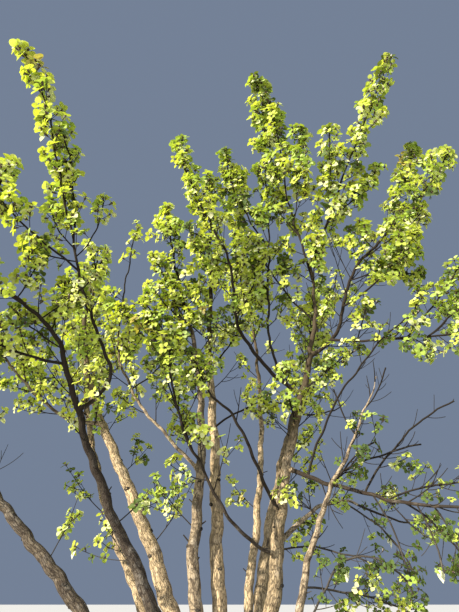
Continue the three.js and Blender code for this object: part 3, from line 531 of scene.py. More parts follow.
class FoliageSettings(bpy.types.PropertyGroup):
    leaf_length: length_setting(
        name="Leaf length", description="Blade of a full-sized leaf without its stalk",
        default=0.057, min=0.02, max=0.3)
    leaf_width: bpy.props.FloatProperty(
        name="Leaf width", description="Width as a share of the blade's length",
        default=0.95, min=0.2, max=1.2, subtype="FACTOR")
    stalk: length_setting(
        name="Leaf stalk", description="Stalk between the spur and the blade",
        default=0.024, min=0, max=0.1)
    rosette_spacing: length_setting(
        name="Rosette spacing", description="Distance between two rosettes along a twig",
        default=0.088, min=0.02, max=0.5)
    twigs: bpy.props.FloatProperty(
        name="Twigs", description="How many twigs leave a shoot for each twig of its solid",
        default=1.75, min=0.5, max=5)
    # The sunlit tint is partly the young leaves' own yellow and partly painted light: it is dealt out
    # more on the far left and less low on the right
    sunlit: color_setting(
        name="Sunlit leaf", description="Youngest leaves, at the tips", default=(0.61, 0.67, 0.055))
    fresh: color_setting(
        name="Fresh leaf", description="Yellow-green leaves", default=(0.50, 0.60, 0.055))
    green: color_setting(
        name="Green leaf", description="Expanded leaves", default=(0.33, 0.46, 0.055))
    # The shaded tint is painted shade: a darker copy of the leaf colour, dealt out mostly low on the
    # right and in the shaded masses
    shaded: color_setting(
        name="Shaded leaf", description="Older leaves inside and low in the crown",
        default=(0.055, 0.10, 0.018))
    bronze: color_setting(
        name="Bronze leaf", description="The few leaves with a warm tint", default=(0.42, 0.32, 0.06))
    bract: color_setting(
        name="Bract", description="Cream-white bracts round the flower heads", default=(0.80, 0.78, 0.62))
    young_bract: color_setting(
        name="Young bract", description="Small pale bracts round the heads in the rosettes",
        default=(0.82, 0.80, 0.52))
    bract_length: length_setting(
        name="Bract length", description="The longer bract of a pair", default=0.10, min=0.03, max=0.3)
    bud: color_setting(
        name="Bud scales", description="Brown scales in the heart of a rosette",
        default=(0.020, 0.010, 0.007))
    bud_length: length_setting(
        name="Bud length", description="Length of the scales round a spur's end",
        default=0.03, min=0.005, max=0.1)


class StageSettings(bpy.types.PropertyGroup):
    floor: color_setting(
        name="Floor", description="Colour of the floor", default=(0.46, 0.46, 0.45))
    backdrop: color_setting(
        name="Backdrop", description="Colour of the light round the tree", default=(0.50, 0.63, 0.88))
    backdrop_light: bpy.props.FloatProperty(
        name="Backdrop light", description="Strength of the light round the tree",
        default=0.35, min=0, max=5)
    key_light: bpy.props.FloatProperty(
        name="Key light", description="Strength of the warm light from the left",
        default=10.0, min=0, max=20)
    fill_light: bpy.props.FloatProperty(
        name="Fill light", description="Strength of the pale light from the front",
        default=2.0, min=0, max=20)
    eye: bpy.props.FloatVectorProperty(
        name="Camera place", description="Where the viewer's eye is",
        subtype="TRANSLATION", unit="LENGTH", size=3, default=EYE)
    pitch: bpy.props.FloatProperty(
        name="Camera pitch", description="How far the camera looks up from level",
        default=math.radians(PITCH), subtype="ANGLE", unit="ROTATION")
    lens: bpy.props.FloatProperty(
        name="Lens", description="Focal length, in millimetres, over the picture's long side",
        default=LENS, min=5, max=300)
    sensor: bpy.props.FloatProperty(
        name="Sensor", description="Long side of the sensor, in millimetres",
        default=SENSOR, min=5, max=100)


# Growth
def direction(heading, rise):
    """The unit vector of a heading and a rise in degrees, or of each pair of them."""
    heading, rise = np.radians(heading), np.radians(rise)
    return np.stack([np.cos(rise) * np.cos(heading), np.cos(rise) * np.sin(heading),
                     np.sin(rise) + 0 * heading], -1)


def in_front_view(places):
    """Where the front view shows places: across and down, in its pixels."""
    away = places - np.array(EYE)
    scale = LENS / SENSOR * PICTURE["height"] / (away @ direction(90, PITCH))
    return (PICTURE["width"] / 2 + scale * away[..., 0],
            PICTURE["height"] / 2 - scale * (away @ direction(90, PITCH + 90)))


def in_opening(place):
    """Whether the front view shows a place in one of the crown's openings."""
    across, down = in_front_view(place)
    return bool(np.any(((across - OPENINGS[:, 0]) / OPENINGS[:, 2]) ** 2
                       + ((down - OPENINGS[:, 1]) / OPENINGS[:, 3]) ** 2 < 1))


def unit(vector):
    return vector / np.linalg.norm(vector)


def turned(vector, axis, angle):
    """vector turned about the unit axis by angle, in radians."""
    across = np.cross(axis, vector)
    along = axis * np.dot(axis, vector)
    return vector * math.cos(angle) + across * math.sin(angle) + along * (1 - math.cos(angle))


def outward(along, turn, start=ACROSS_LIMB):
    """The way straight out of a limb that runs along, turned round it by degrees."""
    return turned(unit(np.cross(start, along)), along, math.radians(turn))


def leaning(along, out, lean):
    """The way that leans from along to out by lean, in radians."""
    return along * math.cos(lean) + out * math.sin(lean)


def chances(seed):
    """A repeatable stream of numbers from 0 to 1."""
    while True:
        seed = seed * 48271 % 2147483647
        yield seed / 2147483647


def ranged(draw, least, more):
    """A value from least to least + more."""
    return least + more * next(draw)


def scattered(draw, width):
    """A value up to half of the width to either side of 0."""
    return width * (next(draw) - 0.5)


def grow_line(start, row):
    """The growth rule's centreline, as evenly spaced points."""
    steps = max(4, round(row["length"] / RING_SPACING))
    share = (np.arange(steps) + 0.5) / steps

    def spread(values):
        return np.interp(share, np.linspace(0, 1, len(values)), values)

    ways = direction(spread(row["heading"]), spread(row["rise"]))
    line = np.vstack([start, start + np.cumsum(ways * row["length"] / steps, axis=0)])
    return line + crooks(row, ways, steps)


def crooks(row, ways, steps):
    """Small bends across a limb, which fade in from its root and are its own."""
    draw = chances(SEED_FIRST + sum(ord(letter) for letter in row["name"]))
    distance = np.linspace(0, row["length"], steps + 1)[:, None]
    way = ways[np.minimum(np.arange(steps + 1), steps - 1)]
    across = np.cross(way, CROOK_ASIDE)
    across /= np.linalg.norm(across, axis=1)[:, None]
    bends = np.zeros((steps + 1, 3))
    for length, size in CROOKS:
        for side in (across, np.cross(way, across)):
            turns = distance / (length * ranged(draw, *CROOK_LENGTH)) + next(draw)
            bends += side * np.sin(math.tau * turns) * size
    return (bends - bends[0]) * (1 - np.exp(-distance / CROOK_FADE))


class Limb:
    """A limb's row, centreline and radius."""

    def __init__(self, row, line, root_radius=None):
        self.row = row
        self.line = line
        self.length = row["length"]
        self.root_radius = root_radius
        self.distances = np.linspace(0, self.length, len(line))

    def at(self, distance):
        return np.array([np.interp(distance, self.distances, self.line[:, k]) for k in range(3)])

    def way(self, distance):
        step = self.length / (len(self.line) - 1)
        behind = np.clip(distance - step, 0, self.length - step)
        return unit(self.at(behind + step) - self.at(behind))

    def radius(self, distance):
        """Radius at each distance, with the root flare or the collar where it leaves."""
        share = np.clip(np.asarray(distance) / self.length, 0, 1)
        plain = (self.row["girth"] + (self.row["tip"] - self.row["girth"]) * share) / 2
        foot, tip = SLIMMER.get(self.row["name"], SLIM_BOUGHS if self.root_radius else (1, 1))
        plain *= foot + (tip - foot) * share
        if self.root_radius is None:
            return plain * (1 + FLARE * np.exp(-np.maximum(distance, 0) / FLARE_HEIGHT))
        out = np.maximum(distance - self.root_radius, 0)
        return plain * (1 + COLLAR_SWELL * np.exp(-out / COLLAR_LENGTH))


@functools.cache
def grow_limbs():
    """Every stem and bough by name."""
    limbs = {}
    for row in STEMS:
        limbs[row["name"]] = Limb(row, grow_line(np.array([*row["foot"], 0.0]), row))
    for row in BOUGHS:
        carrier = limbs[row["on"]]
        start = carrier.at(row["along"])
        limbs[row["name"]] = Limb(row, grow_line(start, row), float(carrier.radius(row["along"])))
    return limbs


class Crown:
    """Gathers the twigs and rosettes while the crown grows."""

    def __init__(self, rosette_spacing, twigs):
        self.rosette_spacing = rosette_spacing
        self.twigs_for_each = twigs
        self.twigs = []
        self.rosettes = []
        limbs = grow_limbs().values()
        self.limb_points = np.vstack([limb.line[::COARSE] for limb in limbs])
        self.limb_radii = np.concatenate([limb.radius(limb.distances[::COARSE]) for limb in limbs])

    def is_free(self, point):
        """Whether a place is clear of every stem and bough."""
        away = np.linalg.norm(self.limb_points - point, axis=1)
        return bool(np.all(away > self.limb_radii + ROOM_ROUND_LIMBS))

    def add_twig(self, points, root, tip):
        """A twig's centreline, tapering from its root radius to its tip radius."""
        self.twigs.append((points, np.linspace(root, tip, len(points))))

    def add_rosette(self, place, way, size, tint):
        """A rosette, unless a limb or an opening is there. Says whether it was added."""
        if self.is_free(place) and not in_opening(place):
            size *= np.interp(place[2], LEAF_HEIGHTS, LEAF_SIZES)
            size *= 1 - LOW_RIGHT_LESS * low_right(place[2], place[0])
            self.rosettes.append((place, way, size * (1 + LEFT_MORE * far_left(place[0])), tint))
            return True
        return False

    def add_spur(self, place, way, length, draw, tint):
        """A short spur with a rosette at its end, which turns up to the light."""
        end = place + way * length
        facing = unit(way + TO_LIGHT * ranged(draw, *SPUR["to_light"]))
        if self.add_rosette(end, facing, ranged(draw, *SPUR["size"]), tint):
            self.add_twig(np.array([place, end]), SPUR["radius"], SPUR["radius"])

    def add_spurs(self, points, first, draw, palette, reach=SPUR["reach"]):
        """Spurs along a centreline, from the distance first to its tip, by the golden angle."""
        steps = np.linalg.norm(np.diff(points, axis=0), axis=1)
        far = np.concatenate([[0], np.cumsum(steps)])
        turn = 360 * next(draw)
        distance = first
        tint = palette(draw)
        while distance < far[-1]:
            place = np.array([np.interp(distance, far, points[:, k]) for k in range(3)])
            after = min(int(np.searchsorted(far, distance)), len(points) - 1) or 1
            along = unit(points[after] - points[after - 1])
            lean = math.radians(ranged(draw, *SPUR["lean"]))
            way = leaning(along, outward(along, turn), lean)
            if next(draw) < SPUR["new_tint"]:
                tint = palette(draw)
            self.add_spur(place, way, reach * ranged(draw, *SPUR["length"]), draw, tint)
            turn += GOLDEN_ANGLE + scattered(draw, SPUR["turn_scatter"])
            wider = 1 + SPUR["left_step"] * LEFT_MORE * far_left(place[0])
            distance += self.rosette_spacing * ranged(draw, *SPUR["step"]) * wider
        way = unit(points[-1] - points[-2])
        self.add_rosette(points[-1], way, ranged(draw, *SPUR["end_size"]), tint)

    def add_leafy_twig(self, root, way, length, radius, draw, palette, leafy=True, fork=True):
        """A twig that bends up as it grows, with finer twigs where it is long, and spurs."""
        points = [root]
        heading = way
        for _ in range(TWIG_POINTS - 1):
            jitter = TWIG["jitter"] * (np.array([next(draw), next(draw), next(draw)]) - 0.5)
            heading = unit(heading + np.array([0, 0, TWIG["bend"]]) + jitter)
            points.append(points[-1] + heading * length / (TWIG_POINTS - 1))
        points = np.array(points)
        end = points[-1]
        if not self.is_free(end) or in_opening(end) and next(draw) < TWIGS_LEFT_OUT:
            return
        self.add_twig(points, radius, TWIG["tip_radius"])
        if fork and length > FINE_TWIG["from"]:
            shares = FINE_TWIG["more" if length > FINE_TWIG["more_from"] else "few"]
            for i, share in enumerate(shares):
                place = points[int(share * (TWIG_POINTS - 1))]
                out = outward(way, GOLDEN_ANGLE * i + 360 * next(draw), ACROSS_TWIG)
                side = unit(way + out * ranged(draw, *FINE_TWIG["spread"]))
                reach = length * (1 - share) * ranged(draw, *FINE_TWIG["reach"])
                self.add_leafy_twig(place, side, max(reach, FINE_TWIG["least_reach"]),
                                    radius * FINE_TWIG["radius"], draw, palette, leafy, fork=False)
        if leafy:
            self.add_spurs(points, TWIG["bare"] * length, draw, palette)


def taken_hold(value, start, over):
    """0 up to the start, and from there evenly up to 1."""
    return np.clip((value - start) / over, 0, 1)


def light_at(height):
    """How much light a height gets, from 0 to 1."""
    return taken_hold(height, *LIT)


def low_right(height, side):
    """1 where a place is low on the right, 0 elsewhere."""
    return taken_hold(side, *RIGHT) * taken_hold(-height, *LOW)


def far_left(side):
    """1 far on the left, 0 elsewhere."""
    return taken_hold(-side, *LEFT)


def palette_for(height, side, shade=0):
    """Tints by place, which paint light and shade: the brightest at the top and on the left, the
    darkest low on the right.
    """
    light, low, left = light_at(height), max(low_right(height, side), shade), far_left(side)
    weights = np.array([tint["share"] + tint["light"] * light + tint["low"] * low
                        + tint["left"] * left for tint in TINTS])
    bounds = np.cumsum(weights / weights.sum())

    def draw_tint(draw):
        return min(int(np.searchsorted(bounds, next(draw))), len(TINTS) - 1)

    return draw_tint


def grow_mass(crown, row, number):
    """One mass: the shoot, and twigs round it by the golden angle as in its solid."""
    draw = chances(SEED_FIRST + SEED_STEP * number)
    carrier = grow_limbs()[row["on"]]
    place = carrier.length if row["along"] is None else row["along"]
    thickest = 2 * float(carrier.radius(place))
    girth = min(row["girth"] * SLIM_SHOOTS, thickest) if row["girth"] else thickest
    row = {**row, "length": row["length"] - SHOOT["top_room"]}
    line = grow_line(carrier.at(place), row)
    shoot = Limb({**row, "girth": girth, "tip": 2 * SHOOT["tip_radius"]}, line, 0)
    leafy_share = row.get("leafy", 1)
    wood = shoot.line[::COARSE]
    far = shoot.length
    while leafy_share == 1 and len(wood) > TWIG_POINTS + 1 and in_opening(wood[-1]):
        wood = wood[:-1]
        far = len(wood) * COARSE / len(shoot.line) * shoot.length
    crown.add_twig(wood, girth / 2, SHOOT["tip_radius"])
    shade = row.get("shade", 0)
    count = round(row["twigs"] * crown.twigs_for_each * row.get("kept", 1))
    for i in range(count):
        share = row["bare"] + (HABIT["last"] - row["bare"]) * (i + 0.5) / count
        distance = share * shoot.length
        if distance > far - SHOOT["end_room"]:
            break
        root = shoot.at(distance)
        along = shoot.way(distance)
        palette = palette_for(root[2], root[0], shade)
        turn = i * GOLDEN_ANGLE + scattered(draw, HABIT["turn_scatter"])
        tilt = HABIT["foot_lean"] + (HABIT["tip_lean"] - HABIT["foot_lean"]) * share
        lean = math.radians(tilt + scattered(draw, HABIT["lean_scatter"]))
        reach = row["reach"] * HABIT["twig_reach"] * (1 + (HABIT["tip_reach"] - 1) * share)
        stretch = reach * ranged(draw, HABIT["least_reach"], 1 - HABIT["least_reach"])
        room = max(shoot.length - distance, SHOOT["twig_room"]) / math.cos(lean)
        length = min(stretch / math.sin(lean), room) * ranged(draw, *HABIT["length"])
        way = leaning(along, outward(along, turn, ACROSS_SHOOT), lean)
        radius = max(float(shoot.radius(distance)) * TWIG["root_share"], TWIG["least_radius"])
        crown.add_leafy_twig(root, way, length, min(radius, TWIG["most_radius"]), draw, palette,
                             next(draw) < leafy_share)
    if leafy_share == 1:
        palette = palette_for(shoot.line[-1][2], shoot.line[-1][0], shade)
        crown.add_spurs(wood, row["bare"] * shoot.length, draw, palette, SHOOT["spur_reach"])


def branchlet(row):
    """A branchlet's row, in the form of a mass."""
    girth = BRANCHLET["girth"] + BRANCHLET["girth_for_length"] * row["length"]
    return {**row, "bare": BRANCHLET["bare"], "girth": girth}


def grow_side_twigs(crown, number, on, first, every, reach, leafy=SIDE_TWIG["leafy"], last=1):
    """Leafy twigs straight on a limb."""
    draw = chances(SIDE_TWIG_SEED + SEED_STEP * number)
    limb = grow_limbs()[on]
    distance = first * limb.length
    turn = 360 * next(draw)
    while distance < last * limb.length:
        root = limb.at(distance)
        along = limb.way(distance)
        lean = math.radians(ranged(draw, *SIDE_TWIG["lean"]))
        way = leaning(along, outward(along, turn), lean)
        length = reach * ranged(draw, *SIDE_TWIG["length"])
        crown.add_leafy_twig(root, way, length, TWIG["radius"], draw,
                             palette_for(root[2], root[0]), next(draw) < leafy)
        turn += GOLDEN_ANGLE + scattered(draw, SIDE_TWIG["turn_scatter"])
        distance += every * ranged(draw, *SIDE_TWIG["step"])


def grow_low_spray(crown, number, on, along, heading, rise, length):
    """One leafy twig low on a stem, with the tints of a place in the light."""
    draw = chances(LOW_SPRAY_SEED + SEED_STEP * number)
    root = grow_limbs()[on].at(along)
    crown.add_leafy_twig(root, direction(heading, rise), length, TWIG["radius"], draw,
                         palette_for(LOW_SPRAY_LIGHT, 0.0))


@functools.cache
def grow_crown(rosette_spacing, twigs):
    """The whole crown, grown once for its settings."""
    crown = Crown(rosette_spacing, twigs)
    for number, row in enumerate((*MASSES, *map(branchlet, BRANCHLETS))):
        grow_mass(crown, row, number)
    for number, row in enumerate(SIDE_TWIGS):
        grow_side_twigs(crown, number, *row)
    for number, row in enumerate(LOW_SPRAYS):
        grow_low_spray(crown, number, *row)
    return crown


def crown_of(context):
    foliage = context.scene.foliage_settings
    return grow_crown(round(foliage.rosette_spacing, 5), round(foliage.twigs, 5))


# Node trees
def add_node(tree, kind, **values):
    """A node with its settings, and the plain values of its inputs by name or number."""
    node = tree.nodes.new(kind)
    for key, value in values.items():
        if key == "inputs":
            for socket, number in value.items():
                node.inputs[socket].default_value = number
        else:
            setattr(node, key, value)
    return node


def wire(tree, *pairs):
    for out, into in pairs:
        tree.links.new(out, into)


def math_node(tree, operation, first, second):
    node = add_node(tree, "ShaderNodeMath", operation=operation)
    for socket, value in zip(node.inputs, (first, second)):
        if isinstance(value, (int, float)):
            socket.default_value = value
        else:
            wire(tree, (value, socket))
    return node.outputs[0]


def math_nodes(tree, *operations):
    """A short form of math_node in a tree for each of the operations."""
    return [functools.partial(math_node, tree, operation) for operation in operations]


def new_socket(tree, name, kind, default=None, into=True):
    socket = tree.interface.new_socket(
        name, in_out="INPUT" if into else "OUTPUT", socket_type="NodeSocket" + kind)
    if default is not None:
        socket.default_value = default


def geometry_tree(name, sockets):
    """A Geometry Nodes tree with its named inputs, and its two end nodes."""
    tree = bpy.data.node_groups.new(name, "GeometryNodeTree")
    new_socket(tree, "Geometry", "Geometry")
    new_socket(tree, "Geometry", "Geometry", into=False)
    for socket, (kind, default) in sockets.items():
        new_socket(tree, socket, kind, default)
    return tree, tree.nodes.new("NodeGroupInput"), tree.nodes.new("NodeGroupOutput")


def finish_tree(tree, geometry, start, end):
    """Realize Instances and Set Material close each tree."""
    real = add_node(tree, "GeometryNodeRealizeInstances")
    paint = add_node(tree, "GeometryNodeSetMaterial")
    wire(tree, (geometry, real.inputs["Geometry"]), (real.outputs[0], paint.inputs["Geometry"]),
         (start.outputs["Material"], paint.inputs["Material"]),
         (paint.outputs[0], end.inputs["Geometry"]))


def named(tree, name, kind="FLOAT"):
    node = add_node(tree, "GeometryNodeInputNamedAttribute", data_type=kind, inputs={"Name": name})
    return node.outputs["Attribute"]


def stretched_grain(tree, grain, width, length):
    """The grain position counted in plates of a width and a length."""
    across, down = (math_node(tree, "DIVIDE", 1.0, size) for size in (width, length))
    scale = add_node(tree, "ShaderNodeCombineXYZ")
    stretched = add_node(tree, "ShaderNodeVectorMath", operation="MULTIPLY")
    wire(tree, (across, scale.inputs["X"]), (across, scale.inputs["Y"]),
         (down, scale.inputs["Z"]), (grain, stretched.inputs[0]),
         (scale.outputs[0], stretched.inputs[1]))
    return stretched.outputs[0]


BARK_INPUTS = {
    "Sides": ("Int", 24), "Relief": ("Float", 0.003), "Furrow Width": ("Float", 0.03),
    "Furrow Length": ("Float", 0.15), "Seed": ("Float", 0.0), "Material": ("Material", None)}


@functools.cache
def bark_tree():
    """Sweeps a round section along centrelines and raises plates and furrows on it."""
    tree, start, end = geometry_tree("Limb bark", BARK_INPUTS)
    curve = add_node(tree, "GeometryNodeMeshToCurve")
    circle = add_node(tree, "GeometryNodeCurvePrimitiveCircle", inputs={"Radius": 1.0})
    place = add_node(tree, "GeometryNodeInputPosition")
    keep = add_node(tree, "GeometryNodeCaptureAttribute")
    keep.capture_items.new("VECTOR", "Around")
    sweep = add_node(tree, "GeometryNodeCurveToMesh", inputs={"Fill Caps": True})
    wire(tree, (start.outputs["Geometry"], curve.inputs["Mesh"]),
         (start.outputs["Sides"], circle.inputs["Resolution"]),
         (circle.outputs["Curve"], keep.inputs["Geometry"]),
         (place.outputs[0], keep.inputs["Around"]),
         (curve.outputs[0], sweep.inputs["Curve"]),
         (keep.outputs["Geometry"], sweep.inputs["Profile Curve"]),
         (named(tree, "girth"), sweep.inputs["Scale"]))

    # Grain: metres round the limb and along it
    round_limb = add_node(tree, "ShaderNodeSeparateXYZ")
    grain = add_node(tree, "ShaderNodeCombineXYZ")
    radius = named(tree, "girth")
    wire(tree, (keep.outputs["Around"], round_limb.inputs[0]),
         (math_node(tree, "MULTIPLY", round_limb.outputs["X"], radius), grain.inputs["X"]),
         (math_node(tree, "MULTIPLY", round_limb.outputs["Y"], radius), grain.inputs["Y"]),
         (named(tree, "along"), grain.inputs["Z"]))
    store = add_node(tree, "GeometryNodeStoreNamedAttribute", data_type="FLOAT_VECTOR",
                     domain="POINT", inputs={"Name": "grain"})
    wire(tree, (sweep.outputs[0], store.inputs["Geometry"]),
         (grain.outputs[0], store.inputs["Value"]))

    finish_tree(tree, raise_bark(tree, store.outputs[0], radius, start), start, end)
    return tree


@functools.cache
def relief_tree():
    """Raises plates and furrows on a mesh that has its grain and girth already."""
    tree, start, end = geometry_tree("Bark relief", dict(list(BARK_INPUTS.items())[1:]))
    finish_tree(tree, raise_bark(tree, start.outputs["Geometry"], named(tree, "girth"), start),
                start, end)
    return tree


def raise_bark(tree, geometry, girth, start):
    """Plates from cells stretched along the grain, and slow swellings between them."""
    times, plus, minus, least = math_nodes(tree, "MULTIPLY", "ADD", "SUBTRACT", "MINIMUM")
    stretched = stretched_grain(tree, named(tree, "grain", "FLOAT_VECTOR"),
                                start.outputs["Furrow Width"], start.outputs["Furrow Length"])
    cells = add_node(tree, "ShaderNodeTexVoronoi", voronoi_dimensions="4D",
                     feature="DISTANCE_TO_EDGE", inputs={"Scale": 1.0, "Randomness": 1.0})
    swell = add_node(tree, "ShaderNodeTexNoise", noise_dimensions="4D",
                     inputs={"Scale": 0.6, "Detail": 3.0, "Roughness": 0.6})
    for texture in (cells, swell):
        wire(tree, (stretched, texture.inputs["Vector"]),
             (start.outputs["Seed"], texture.inputs["W"]))
    plates = least(times(cells.outputs["Distance"], RELIEF["edge"]), 1.0)
    lumps = times(minus(swell.outputs["Fac"], 0.5), RELIEF["lumps"])
    height = plus(minus(plates, RELIEF["middle"]), lumps)
    thick = least(times(girth, RELIEF["with_girth"]), 1.0)
    rise = times(height, times(start.outputs["Relief"], thick))
    normal = add_node(tree, "GeometryNodeInputNormal")
    offset = add_node(tree, "ShaderNodeVectorMath", operation="SCALE")
    move = add_node(tree, "GeometryNodeSetPosition")
    smooth = add_node(tree, "GeometryNodeSetShadeSmooth")
    wire(tree, (normal.outputs[0], offset.inputs[0]), (rise, offset.inputs["Scale"]),
         (geometry, move.inputs["Geometry"]), (offset.outputs[0], move.inputs["Offset"]),
         (move.outputs[0], smooth.inputs["Geometry"]))
    return smooth.outputs[0]


@functools.cache
def placing_tree():
    """Puts one of a collection's meshes on each point, turned and sized by its attributes."""
    tree, start, end = geometry_tree("Place on spurs", {
        "Collection": ("Collection", None), "Scale": ("Float", 1.0),
        "Material": ("Material", None)})
    kinds = add_node(tree, "GeometryNodeCollectionInfo",
                     inputs={"Separate Children": True, "Reset Children": True})
    put = add_node(tree, "GeometryNodeInstanceOnPoints", inputs={"Pick Instance": True})
    turn = add_node(tree, "FunctionNodeEulerToRotation")
    size = math_node(tree, "MULTIPLY", named(tree, "size"), start.outputs["Scale"])
    wire(tree, (start.outputs["Collection"], kinds.inputs["Collection"]),
         (start.outputs["Geometry"], put.inputs["Points"]),
         (kinds.outputs[0], put.inputs["Instance"]),
         (named(tree, "kind", "INT"), put.inputs["Instance Index"]),
         (named(tree, "turn", "FLOAT_VECTOR"), turn.inputs[0]),
         (turn.outputs[0], put.inputs["Rotation"]), (size, put.inputs["Scale"]))
    finish_tree(tree, put.outputs[0], start, end)
    return tree


# Meshes
def link_new(name, data):
    """A new object for a mesh, a lamp or a camera, linked to the scene."""
    made = bpy.data.objects.new(name, data)
    bpy.context.scene.collection.objects.link(made)
    return made


def plain_mesh(source):
    """The mesh that an object's modifiers make of it. The object is removed."""
    bpy.context.view_layer.update()
    graph = bpy.context.evaluated_depsgraph_get()
    mesh = bpy.data.meshes.new_from_object(source.evaluated_get(graph))
    bpy.data.objects.remove(source)
    return mesh


def set_attribute(mesh, name, kind, values):
    """A value or vector for each of a mesh's points, under a name."""
    field = "vector" if kind == "FLOAT_VECTOR" else "value"
    made = mesh.attributes.new(name, kind, "POINT")
    made.data.foreach_set(field, np.ascontiguousarray(values).ravel())


def new_object(name, points, edges=(), faces=(), **attributes):
    """A mesh object with its attributes, linked to the scene."""
    mesh = bpy.data.meshes.new(name)
    mesh.from_pydata([tuple(p) for p in points], edges, faces)
    for key, (kind, values) in attributes.items():
        set_attribute(mesh, key, kind, values)
    return link_new(name, mesh)


def apply_tree(source, tree, **inputs):
    """The plain mesh that a tree makes of an object, under the same name."""
    modifier = source.modifiers.new(tree.name, "NODES")
    modifier.node_group = tree
    identifiers = {item.name: item.identifier for item in tree.interface.items_tree
                   if item.in_out == "INPUT"}
    for name, value in inputs.items():
        modifier[identifiers[name.replace("_", " ")]] = value
    name = source.name
    mesh = plain_mesh(source)
    mesh.name = name
    return link_new(name, mesh)


def paths(name, twigs):
    """Centrelines as one mesh of edges, with the radius and the distance at each point."""
    points = np.vstack([line for line, _ in twigs])
    radii = np.concatenate([radius for _, radius in twigs]).astype(np.float32)
    along, edges, first = [], [], 0
    for line, _ in twigs:
        steps = np.linalg.norm(np.diff(line, axis=0), axis=1)
        along.append(np.concatenate([[0], np.cumsum(steps)]) + GRAIN_SHIFT * first)
        edges += [(first + i, first + i + 1) for i in range(len(line) - 1)]
        first += len(line)
    return new_object(name, points, edges, girth=("FLOAT", radii),
                      along=("FLOAT", np.concatenate(along).astype(np.float32)))


def finish_piece(piece, slot, *nodes):
    """Says what a piece rides on and which solids it stands for. The slot is not used."""
    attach(piece, BODY)
    if nodes:
        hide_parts(*nodes)


def flat_cut(piece):
    """Cuts a piece off level at the ground and closes it there."""
    shape = bmesh.new()
    shape.from_mesh(piece.data)
    everything = shape.verts[:] + shape.edges[:] + shape.faces[:]
    cut = bmesh.ops.bisect_plane(shape, geom=everything, plane_co=(0, 0, 0),
                                 plane_no=(0, 0, 1), clear_inner=True)
    rim = [item for item in cut["geom_cut"] if isinstance(item, bmesh.types.BMEdge)]
    bmesh.ops.contextual_create(shape, geom=rim)
    bmesh.ops.triangulate(shape, faces=[f for f in shape.faces if len(f.verts) > 4])
    bmesh.ops.recalc_face_normals(shape, faces=shape.faces[:])
    shape.to_mesh(piece.data)
    shape.free()


